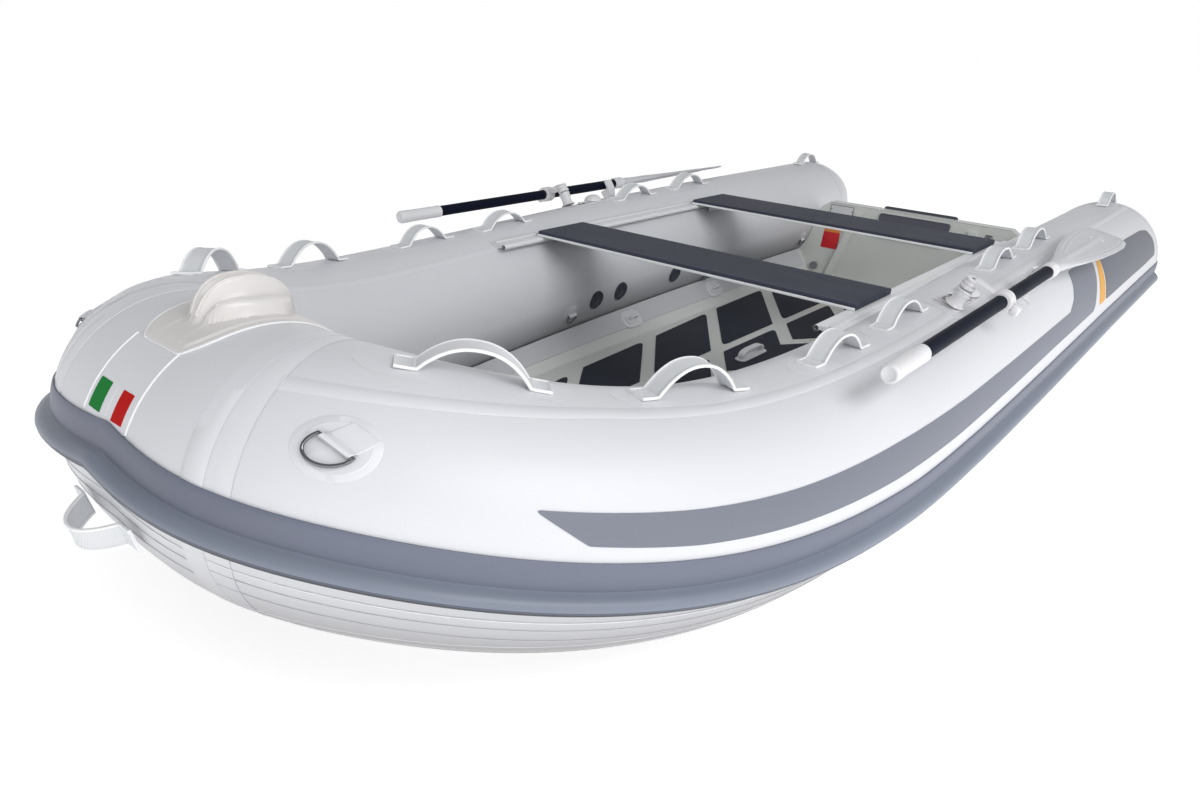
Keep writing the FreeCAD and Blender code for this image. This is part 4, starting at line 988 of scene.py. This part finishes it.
FD = np.array([61.4, 61.8, 62.6, 64, 66, 68.5, 71, 73, 75, 76.5, 78, 79.5, 81, 82.5, 84, 85.5, 87, 88.5, 90, 92, 94, 96, 98, 100, 102, 104,
               106, 108, 110, 111.5, 113, 114.5, 116, 118, 120, 122.5, 125, 127.5, 129.4, 130.2])
WD = np.interp(FD, [61.4, 61.8, 62.6, 64, 66, 68.5, 71, 75, 82, 90, 98, 106, 115, 122, 127.5, 129.4, 130.2], [56, 62, 67, 72, 78, 84, 88, 93, 97, 99, 99, 97, 92, 87, 81, 75, 66])
FT = np.linspace(-1, 1, 161)
acc = Acc()
Y = WD[:, None] * FT[None, :]
D = np.repeat(FD[:, None], len(FT), 1)
hw = 64 * np.sqrt(np.clip(1 - ((D - 96.5) / 21.5) ** 2, 0, 1)) + 1e-6
ED = [75, 77, 79, 81, 84, 87, 90, 94, 98, 102, 106, 110, 114, 116.5, 118]
EH = [0, 8, 18, 29, 41, 48, 52, 53.5, 54, 52.5, 49, 41, 27, 13, 0]
SD = [77, 80, 84, 90, 97, 104, 110, 114, 117]
SH = [0, 14, 25, 27, 24.5, 26.5, 26, 15, 0]
env = np.interp(D, ED, EH)
sill = np.interp(D, SD, SH)
v = np.abs(Y) / hw
crest = np.interp(v, [0, 0.07, 0.15, 0.23, 0.29, 0.34, 0.39, 0.46, 0.54, 0.62, 0.72, 0.84, 1.0],
                  [0.70, 0.73, 0.87, 0.98, 1.0, 0.98, 0.80, 0.58, 0.42, 0.30, 0.18, 0.07, 0.0])
wall = np.interp(v, [0, 0.45, 0.55, 0.64, 0.72, 0.80, 0.88, 0.94, 0.98, 1.0], [0.25, 0.42, 0.58, 0.84, 1.0, 1.0, 0.90, 0.70, 0.36, 0.0])
H = np.maximum(env * crest, sill * wall)
edge = (1 - np.abs(FT))[None, :] * WD[:, None]
edge = np.minimum(edge, np.minimum((D - 61.4) * 3.8, (130.2 - D) * 3.8))
H = H + 3.2 * sm(0, 3, edge) + 3.0 * sm(10, 17, edge)
ridge = np.exp(-((np.abs(Y) - np.interp(D, [62, 80], [44, 30])) / 3.0) ** 2) * np.interp(D, [63, 66, 77, 80], [0, 1.4, 1.4, 0])
H = np.where(edge <= 0.01, 0.0, H + ridge)
G = P(QB - Y, D, H + 0.2)
acc.grid(G, 0, ref=P(QB - Y, D, H + 5) - G)
rim = [(d, w) for d, w in zip(FD, WD)]
for s in (1, -1):
    yy = np.array([s * w for _, w in rim])
    dd = np.array([d for d, _ in rim])
    path_tube(acc, P(QB - yy, dd, 1.6), 1.9, 1, 8)
for s in (1, -1):
    dd = np.linspace(77.5, 116.5, 60)
    w_e = 64 * np.sqrt(np.clip(1 - ((dd - 96.5) / 21.5) ** 2, 0, 1))
    path_tube(acc, P(QB - s * 0.285 * w_e, dd, np.interp(dd, ED, EH) + 5.4), 3.0, 0, 10)
    dd = np.linspace(83.0, 113.0, 50)
    w_e = 64 * np.sqrt(np.clip(1 - ((dd - 96.5) / 21.5) ** 2, 0, 1))
    path_tube(acc, P(QB - s * 0.735 * w_e, dd, np.interp(dd, SD, SH) + 5.0), 2.6, 0, 10)
    # thin grey line in the crease under the lens: painted shade
    path_tube(acc, P(QB - s * 0.655 * w_e, dd, np.interp(dd, SD, SH) * 0.87 + 6.3), 0.8, 2, 8)
    # thin grey line in the groove along the crest (drawn below): painted shade
    dd = np.linspace(80.0, 115.0, 56)
    w_e = 64 * np.sqrt(np.clip(1 - ((dd - 96.5) / 21.5) ** 2, 0, 1))
    path_tube(acc, P(QB - s * 0.075 * w_e, dd, np.interp(dd, ED, EH) * 0.73 + 6.3), 0.7, 2, 8)
path_tube(acc, P(QB - np.linspace(-56, 56, 25), np.full(25, 61.4), 1.2), 1.2, 1, 8)
path_tube(acc, P(QB - np.linspace(-66, 66, 25), np.full(25, 130.2), 1.2), 1.2, 1, 8)
ob = acc.make("fairlead_moulding", [M_FIT, M_EDGE, M_SEAM_LINE_CREASE_SHADE], sharp=55)
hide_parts("bow_fitting")

# ---------------------------------------------------------------- oars
TCY, TCZ = 636.2, 297.0
OY, OZ = 772.2, 527.9
AN = np.array([0, 0.42262, 0.90631])
AT = np.array([0, 0.90631, -0.42262])
X1 = np.array([1.0, 0, 0])
N_SH, T_SH, T_PIN, N_PIN, B_TOP = 266.77, 25.69, -52.28, 195.12, 244.77


def ow(x, n, t):
    return np.array([x, TCY, TCZ]) + AN * n + AT * t


BPH = math.radians(78.0)
BN = np.array([0, math.cos(BPH), math.sin(BPH)])
BT = np.array([0, math.sin(BPH), -math.cos(BPH)])
BL = [(1553.8, 31, 30.5), (1510, 36, 28), (1440, 58, 22), (1355, 88, 16), (1250, 119, 12), (1130, 139, 9), (1030, 146, 7), (965, 132, 6), (940, 112, 5.5), (929, 84, 5), (925.2, 40, 4)]


def mir(pts, s):
    return np.asarray(pts) * [1, s, 1]


for real, nm in ((1, "port"), (-1, "starboard")):
    sd = 1
    body = "oar_" + nm
    # hand grip
    acc = Acc()
    cn = np.array([0, OY * sd, OZ])
    lathe(acc, cn, X1, [(15.6, 2430.8), (17.4, 2431), (18, 2432), (18.1, 2436), (17.6, 2437), (17.6, 2540), (18.1, 2542), (18.3, 2560), (18.3, 2572), (17.6, 2575.5),
                        (16, 2577.2), (13.4, 2577.9), (12.6, 2577.2), (11.8, 2576.6), (0.4, 2576.4)], 0, 44)
    if real < 0:
        acc.to_starboard()
    ob = acc.make("grip_" + nm, [M_WHITE], body)
    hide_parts("oar_grip_" + nm)
    # ribbed ferrule
    acc = Acc()
    pr = [(15.7, 1603.6), (17.6, 1603.8)]
    x = 1602.0
    for i in range(6):
        pr += [(19.0, x), (20.2, x - 0.8), (20.2, x - 4.2), (19.0, x - 5.0), (18.4, x - 6.6)]
        x -= 7.2
    pr += [(17.6, 1555.0), (15.7, 1554.4), (15.7, 1603.6)]
    lathe(acc, cn, X1, pr, 0, 44)
    if real < 0:
        acc.to_starboard()
    ob = acc.make("ferrule_" + nm, [M_WHITE], body)
    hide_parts("oar_ferrule_" + nm)
    # blade with a spine and a double rib following the rim
    acc = Acc()
    xs = np.concatenate([np.linspace(1553.6, 1440, 14), np.linspace(1430, 1000, 44), np.linspace(994, 925.4, 26)])
    bx_ = np.array([b[0] for b in BL])[::-1]
    w_ = np.interp(xs, bx_, np.array([b[1] for b in BL])[::-1])
    t_ = np.interp(xs, bx_, np.array([b[2] for b in BL])[::-1])
    va = np.linspace(-1, 1, 61)
    va = np.sign(va) * np.abs(va) ** 0.85
    half = w_[:, None] / 2 * va[None]
    de = np.minimum((w_[:, None] / 2 - np.abs(half)), (xs[:, None] - 925.4) * 1.0)
    fade = sm(1420, 1330, xs)[:, None]
    rib = (1.5 * np.exp(-((de - 11) / 2.0) ** 2) + 1.3 * np.exp(-((de - 23) / 2.0) ** 2)) * fade
    spine = 3.4 * np.exp(-(half / 8.0) ** 2) * sm(985, 1060, xs)[:, None] * sm(1500, 1400, xs)[:, None]
    body_h = t_[:, None] / 2 * np.sqrt(np.clip(1 - va[None] ** 2, 0, 1)) ** 0.8
    cup = -5.0 * (half / 73.0) ** 2 * sm(1350, 1150, xs)[:, None]
    top = body_h + rib * (de > 3) + spine
    bot = -body_h - rib * (de > 3) - spine
    c = np.stack([xs, np.full_like(xs, OY), np.full_like(xs, OZ)], 1)
    Gt = c[:, None] + half[..., None] * BT + top[..., None] * BN
    Gb = c[:, None] + half[..., None] * BT + bot[..., None] * BN
    G = mir(np.concatenate([Gt, Gb[:, ::-1][:, 1:-1]], 1), sd)
    acc.grid(G, 0, cv=True, caps=True)
    for xx, hh in ((1062, 17), (1062, -17)):
        cc = mir(np.array([xx, OY, OZ]) + BT * hh + BN * 3.0, sd)
        lathe(acc, cc, mir(BN, sd), [(0.3, 2.6), (3.0, 2.4), (3.6, 1.4), (3.8, -2)], 1, 16)
    if real < 0:
        acc.to_starboard()
    ob = acc.make("blade_" + nm, [M_BLADE, M_RIM], body, sharp=50)
    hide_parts("oar_blade_" + nm)
    # swivel: banded collar, arm, head with a screw whose recessed top is near-black (painted shade of its slot),
    # outboard knob
    acc = Acc()
    pr = [(15.7, -17), (21, -17), (23.4, -16.2), (24, -15), (24, -8), (23.2, -7), (21.6, -6.4), (21.6, 0.4), (23.2, 1), (24, 2), (24, 8), (22.4, 9), (22.0, 10.4), (23.4, 11.4), (24, 12.4), (24, 15), (23.2, 16.4), (21, 17), (15.7, 17), (15.7, -17)]
    lathe(acc, np.array([1960.0, OY * sd, OZ]), X1, pr, 0, 48)
    slab(acc, mir(ow(1960, N_SH, (T_SH + T_PIN) / 2 - 8), sd), X1, mir(AT, sd), mir(AN, sd), 26, T_SH - T_PIN - 24, 16, 0, 2.5)
    hp = mir(ow(1960, 0, T_PIN), sd)
    lathe(acc, hp, mir(AN, sd), [(0.4, N_SH + 3.2, 1), (5.4, N_SH + 3.2, 0), (6.0, N_SH + 4.6, 0), (14.6, N_SH + 4.4), (16.4, N_SH + 3), (16.8, N_SH + 0.4), (15.0, N_SH - 0.4), (15.0, N_SH - 2.4),
                                 (16.4, N_SH - 3.4), (17, N_SH - 5), (17, N_SH - 9), (14.8, N_SH - 10), (14.8, N_SH - 12), (17.4, N_SH - 13), (18, N_SH - 15),
                                 (18, B_TOP + 2), (17, B_TOP + 0.6), (6.2, B_TOP + 0.5), (6.0, B_TOP - 27), (0.4, B_TOP - 28)], 0, 40)
    kn = mir(ow(1958, N_SH - 2, T_SH), sd)
    lathe(acc, kn, mir(AT, sd), [(8, 20), (9, 25), (13.2, 26), (14, 28), (14, 38), (12.8, 41), (10, 42.6), (6, 42.8), (5, 42), (0.4, 41.8)], 0, 12)
    if real < 0:
        acc.to_starboard()
    ob = acc.make("swivel_" + nm, [M_WHITE, M_DARK_HOLE_SHADE], body)
    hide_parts("oar_swivel_" + nm)
    # base plate bonded on the tube
    acc = Acc()
    k = 3.525
    out = [(1716, 91.5), (1752, 73.2), (1984, 73.2), (1944, 93.5)]
    area(acc, out, [12, 12, 12, 12], 3.2, sd, 0, step=8, k=k, rows=10)
    inn = [(1727, 89.3), (1758, 75.4), (1974, 75.4), (1937, 91.2)]
    area(acc, inn, [9, 9, 9, 9], 5.6, sd, 0, step=8, k=k, rows=10, h0=3.0)

    def pt_(x, d, h):
        a = math.radians(d)
        return np.array([x, (TCY + (202 + h) * math.cos(a)) * sd, TCZ + (202 + h) * math.sin(a)])

    def nrm_(d):
        a = math.radians(d)
        return np.array([0, math.cos(a) * sd, math.sin(a)])

    # recessed centres of these bosses are near-black: painted shade
    for x, d, r in ((1897, 80.8, 12.5), (1913, 86.4, 8.0), (1885, 76.6, 4.2), (1786, 87.4, 4.2), (1772, 78, 4.2), (1938, 88.6, 4.2)):
        lathe(acc, pt_(x, d, 0), nrm_(d), [(0.3, 3.2, 1), (r - 0.6, 3.4, 1), (r, 6.0, 0), (r + 0.8, 6.9, 0), (r + 2.2, 6.9, 0), (r + 3.0, 5.4, 0)], 0, 28)
    # domed housing
    th = np.linspace(0, 2 * math.pi, 40, endpoint=False)
    rr = np.linspace(0.02, 1, 12)
    A_ = 1846 + 33 * rr[:, None] * np.cos(th)
    Dg = 82.5 + 27 / k * rr[:, None] * np.sin(th)
    Hh = 5.2 + 21 * np.clip(1 - rr ** 2.4, 0, 1)[:, None] ** 0.6 + 0 * A_
    Gd = np.stack([A_, (TCY + (202 + Hh) * np.cos(np.radians(Dg))) * sd, TCZ + (202 + Hh) * np.sin(np.radians(Dg))], -1)
    acc.grid(Gd, 0, cv=True, ref=np.broadcast_to(nrm_(82.5), Gd.shape))
    # socket boss
    bc = mir(ow(1960, 0, T_PIN), sd)
    lathe(acc, bc, mir(AN, sd), [(23, N_PIN + 4), (18.6, N_PIN + 9), (16.4, N_PIN + 14), (16.2, B_TOP - 19), (18, B_TOP - 18), (18, B_TOP - 13), (16.2, B_TOP - 12), (16.2, B_TOP - 9),
                                 (18, B_TOP - 8), (18, B_TOP - 5), (16.6, B_TOP - 3.4), (6.6, B_TOP - 3.2), (6.2, B_TOP - 10), (6.2, N_PIN + 12)], 0, 40)
    if real < 0:
        acc.to_starboard()
    ob = acc.make("rowlock_" + nm, [M_WHITE, M_DARK_HOLE_SHADE])
    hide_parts("rowlock_base_" + nm)
    acc = Acc()
    area(acc, [(1690, 95), (1730, 66), (2020, 66), (1975, 98)], [26, 26, 26, 26], 0.7, sd, 0, step=10, k=k)
    area(acc, [(1610, 68), (1610, 52), (1702, 52), (1702, 68)], [20, 20, 20, 20], 0.7, sd, 0, step=6, k=k)
    if real < 0:
        acc.to_starboard()
    ob = acc.make("rowlock_patch_" + nm, [M_TAPE])

# ---------------------------------------------------------------- lugs on the skirts and the deck
acc = Acc()
for x in (1709.0, 1195.0):
    cy = float(np.interp(x, C[mono, 0], C[mono, 1]))
    cz = float(np.interp(x, C[mono, 0], C[mono, 2]))
    yb, zb = cy + 204.5 * math.cos(math.radians(-142)), cz + 204.5 * math.sin(math.radians(-142))
    yd, zd = yb - 82.0, 86.0
    kk = math.hypot(82.0, zb - zd)
    e1 = np.array([0, 82.0 / kk, (zb - zd) / kk])
    n1 = np.array([0, -(zb - zd) / kk, 82.0 / kk])
    o = np.array([x, yd, zd]) + e1 * (0.62 * kk) + n1 * 3.3
    for sd in (1, -1):
        oo, ee, nn = mir(o, sd), mir(e1, sd), mir(n1, sd)
        ov = round_poly([(-47, -32), (47, -32), (47, 32), (-47, 32)], 30, 8)
        plate(acc, ov, oo + ee * 1 - nn * 0.2, X1, ee, nn, 1.3, 0.6, 1)
        ol = round_poly([(-31, -16), (31, -16), (31, 16), (-31, 16)], 11, 6)
        plate(acc, ol, oo + nn * 0.9, X1, ee, nn, 3.6, 0.9)
        th = np.linspace(0.05, math.pi - 0.05, 17)
        path_tube(acc, [oo + X1 * 18 * math.cos(t) + nn * (3.2 + 19.0 * math.sin(t)) for t in th], 5.0, 0, 12, up=ee)
ol = round_poly([(-76, -20), (76, -20), (76, 20), (-76, 20)], 18, 6)
plate(acc, ol, (1620, -18, 98.6), (1, 0, 0), (0, 1, 0), (0, 0, 1), 5.0, 1.4)
ph = np.linspace(0.0, math.pi, 41)
pr = []
for t in ph:
    c = math.cos(t)
    pr.append((63 * math.copysign(abs(c) ** 0.62, c), 2.0 + 24.0 * math.sin(t) ** 0.55))
sec = round_poly([(-11, -3.8), (11, -3.8), (11, 3.8), (-11, 3.8)], 3.2, 4)
pp = np.array(pr)
tg = np.gradient(pp, axis=0)
tg /= np.linalg.norm(tg, axis=1)[:, None]
G = np.array([[(1620 + a + t[1] * q[1], -18 + q[0], 101.0 + b - t[0] * q[1]) for q in sec] for (a, b), t in zip(pp, tg)])
acc.grid(G, 0, cv=True, caps=True)
ob = acc.make("cleats", [M_WHITE, M_TAPE])
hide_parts("deck_lugs")

# ---------------------------------------------------------------- transom furniture
RK = math.radians(12)
E2 = np.array([-math.sin(RK), 0, math.cos(RK)])
E3 = np.array([math.cos(RK), 0, math.sin(RK)])


def tx(z):
    return 415.5 + (398 - z) * math.tan(RK)


acc = Acc()
o = np.array([tx(339) + 0.3, 0, 339.0])
ol = round_poly([(-136, -48), (136, -48), (150, 48), (-150, 48)], 14, 6)
plate(acc, ol, o, (0, 1, 0), E2, E3, 8.0, 1.2, 0, rim=(7, 2.4))
for y in (-92, 0, 92):
    c = o + np.array([0, y, 0]) + E2 * 6
    lathe(acc, c, E3, [(0.3, 9.0, 1), (4.8, 9.0, 1), (5.6, 8.2, 1), (6.2, 5.4, 2), (9.0, 6.4, 2), (9.6, 5.2, 2)], 1, 24)
ob = acc.make("clamp_pad_inner", [M_MPAD, M_STEEL, M_MPAD2])
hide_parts("motor_pad_inner")
acc = Acc()
zc = 307.0
o = np.array([tx(zc) - 45.3, 0, zc]) - np.array([0.3, 0, 0])
ol = round_poly([(-140, -104), (140, -104), (155, 104), (-155, 104)], 14, 6)
plate(acc, ol, o, (0, -1, 0), E2, -E3, 11.0, 1.4, 0, rim=(9, 2.2))
for i in range(9):
    s = -78 + i * 19.0
    pp = round_poly([(-118, -3.2), (118, -3.2), (118, 3.2), (-118, 3.2)], 3, 3)
    plate(acc, pp, o + E2 * s - E3 * 8.4, (0, -1, 0), E2, -E3, 2.4, 0.8, 0)
ob = acc.make("clamp_pad_outer", [M_MPAD2])
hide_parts("motor_pad_outer")
acc = Acc()
o = np.array([tx(371) + 0.3, -317.5, 371.0])
plate(acc, round_poly([(-53.5, -19.4), (53.5, -19.4), (53.5, 19.4), (-53.5, 19.4)], 4, 4), o, (0, 1, 0), E2, E3, 1.4, 0.4, 1)
plate(acc, round_poly([(-50, -16), (50, -16), (50, 16), (-50, 16)], 2, 3), o + E3 * 1.2, (0, 1, 0), E2, E3, 0.6, 0.2, 0)
for y in (-47, 47):
    lathe(acc, o + np.array([0, y, 0]), E3, [(0.3, 2.9), (2.0, 2.7), (2.8, 1.7)], 2, 14)
ob = acc.make("rating_plate_blank", [M_PLATE, M_FRAME, M_STEEL])
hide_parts("capacity_plate")
acc = Acc()
o = np.array([tx(243) + 0.4, -339.0, 243.0])
plate(acc, round_poly([(-38, -36), (38, -36), (38, 33), (-38, 33)], 3, 3), o, (0, 1, 0), E2, E3, 0.6, 0.2, 0)
plate(acc, round_poly([(-38, 33.5), (38, 33.5), (38, 51), (-38, 51)], 3, 3), o, (0, 1, 0), E2, E3, 0.6, 0.2, 1)
ob = acc.make("warning_label_blank", [M_LABEL, M_LABEL2])
# small eye high on the port side of the wall, trim along the top edge
acc = Acc()
for s in (1,):
    o = np.array([tx(352) + 0.3, 300.0, 352.0])
    plate(acc, round_poly([(-14, -17), (14, -17), (14, 17), (-14, 17)], 6, 4), o, (0, 1, 0), E2, E3, 3.0, 0.8, 0)
    th = np.linspace(0.05, math.pi - 0.05, 15)
    path_tube(acc, [o + E2 * 10 * math.cos(t) + E3 * (2.4 + 13 * math.sin(t)) for t in th], 3.0, 0, 10, up=(0, 1, 0))
ob = acc.make("transom_eye", [M_STEEL])
acc = Acc()
for s in (1, -1):
    yy = np.linspace(160, 377, 16) * s
    for xo in (-1.5, -43.5):
        path_tube(acc, [np.array([415.5 + xo, y, 397.4]) for y in yy], 2.6, 0, 8)
for y0, y1 in ((-150, 150),):
    path_tube(acc, [np.array([415.5 - 1.5, y, 397.4]) for y in np.linspace(y0, y1, 12)], 2.6, 0, 8)
ob = acc.make("transom_trim", [M_GEL])
acc = Acc()
for sd in (1, -1):
    sec = round_poly([(512.5, 472.4), (529, 472.4), (529, 478.4), (512.5, 478.4)], 2.4, 4)
    xs = [1040, 1041.2, 1300, 1600, 1900, 2240, 2256, 2262]
    sc = [0.92, 1, 1, 1, 1, 1, 0.86, 0.6]
    G = np.array([[(x, (520.75 + (y - 520.75) * k) * sd, 472.4 + (z - 472.4) * k) for y, z in sec] for x, k in zip(xs, sc)])
    acc.grid(G, 0, cv=True, caps=True)
ob = acc.make("rail_strips", [M_WHITE])
# near-black screw heads in the rail ends, painted shade of their sockets
acc = Acc()
for sd in (1, -1):
    for xe, dx in ((2262, 1),):
        lathe(acc, np.array([xe, 484.5 * sd, 465.5]), (dx, 0, 0), [(0.3, -3.5), (3.3, -3.0), (3.6, 0.2), (4.4, 0.8), (6.2, 0.6), (6.9, -0.6)], 0, 24)
ob = acc.make("rail_end_sockets", [M_DARK_HOLE_SHADE])

# ---------------------------------------------------------------- stage, light, camera
def sun_area(name, loc, target, sx, sy, power, col=(1, 1, 1)):
    li = bpy.data.lights.new(name, "AREA")
    li.shape = "RECTANGLE"
    li.size, li.size_y, li.energy, li.color = sx, sy, power, col
    ob = bpy.data.objects.new(name, li)
    bpy.context.scene.collection.objects.link(ob)
    ob.location = loc
    d = Vector(target) - Vector(loc)
    ob.rotation_euler = d.to_track_quat("-Z", "Y").to_euler()
    return ob


fm = bpy.data.meshes.new("studio_floor")
S = 60.0
fm.from_pydata([(-S, -S, 0), (S, -S, 0), (S, S, 0), (-S, S, 0)], [], [(0, 1, 2, 3)])
fo = bpy.data.objects.new("studio_floor", fm)
bpy.context.scene.collection.objects.link(fo)
mf = make_mat("floor_white", "#DEDEDF", 0.8, 0.01, 0.5, 60, 0.00002, 0.05, spec=0.1)
bsdf = [n for n in mf.node_tree.nodes if n.type == "BSDF_PRINCIPLED"][0]
bsdf.inputs["Emission Color"].default_value = (1, 1, 1, 1)
bsdf.inputs["Emission Strength"].default_value = 0.70
fm.materials.append(mf)

w = bpy.data.worlds.new("studio")
bpy.context.scene.world = w
w.use_nodes = True
wn, wl = w.node_tree.nodes, w.node_tree.links
bgn = wn["Background"]
wtc = wn.new("ShaderNodeTexCoord")
sep = wn.new("ShaderNodeSeparateXYZ")
ramp = wn.new("ShaderNodeValToRGB")
wl.new(wtc.outputs["Generated"], sep.inputs[0])
wl.new(sep.outputs["Z"], ramp.inputs[0])
wl.new(ramp.outputs[0], bgn.inputs[0])
ramp.color_ramp.elements[0].position = 0.10
ramp.color_ramp.elements[0].color = (1, 1, 1, 1)
ramp.color_ramp.elements[1].position = 0.45
ramp.color_ramp.elements[1].color = (0.34, 0.345, 0.355, 1)
bgn.inputs[1].default_value = 1.0
bpy.context.scene.view_settings.view_transform = "Standard"

sun_area("key_port", (2.4, 4.9, 1.4), (0.5, 0.5, 0.30), 6.0, 1.8, 34)
sun_area("key_bow", (5.6, 1.4, 1.3), (1.2, 0.1, 0.30), 3.0, 1.6, 14)
sun_area("top_soft", (0.2, 0.0, 5.0), (0.2, 0.0, 0.2), 5.0, 4.0, 15)
sun_area("inner_starboard", (1.2, 3.4, 3.2), (0.5, -0.5, 0.25), 3.6, 1.6, 92)

cam = bpy.data.cameras.new("photo_camera")
cam.sensor_fit = "HORIZONTAL"
cam.sensor_width = 36.0
F_PX, PPX, PPY = 849.702, 5.951, -0.37
cam.lens = F_PX * 36.0 / 1200.0
cam.shift_x = -PPX / 1200.0
cam.shift_y = PPY / 1200.0
cam.clip_start, cam.clip_end = 0.05, 200.0
co = bpy.data.objects.new("photo_camera", cam)
bpy.context.scene.collection.objects.link(co)
yw, pt, rl = -2.4620117589956902, 0.40859105369490883, 0.04240471207954356
fw = Vector((math.cos(yw) * math.cos(pt), math.sin(yw) * math.cos(pt), -math.sin(pt)))
rt = fw.cross(Vector((0, 0, 1))).normalized()
up = rt.cross(fw)
r2 = rt * math.cos(rl) + up * math.sin(rl)
u2 = up * math.cos(rl) - rt * math.sin(rl)
M = Matrix((r2, u2, -fw)).transposed().to_4x4()
M.translation = Vector(((3910.6 + XS) * 0.001, 1.2419, 1.0368))
co.matrix_world = M
bpy.context.scene.camera = co
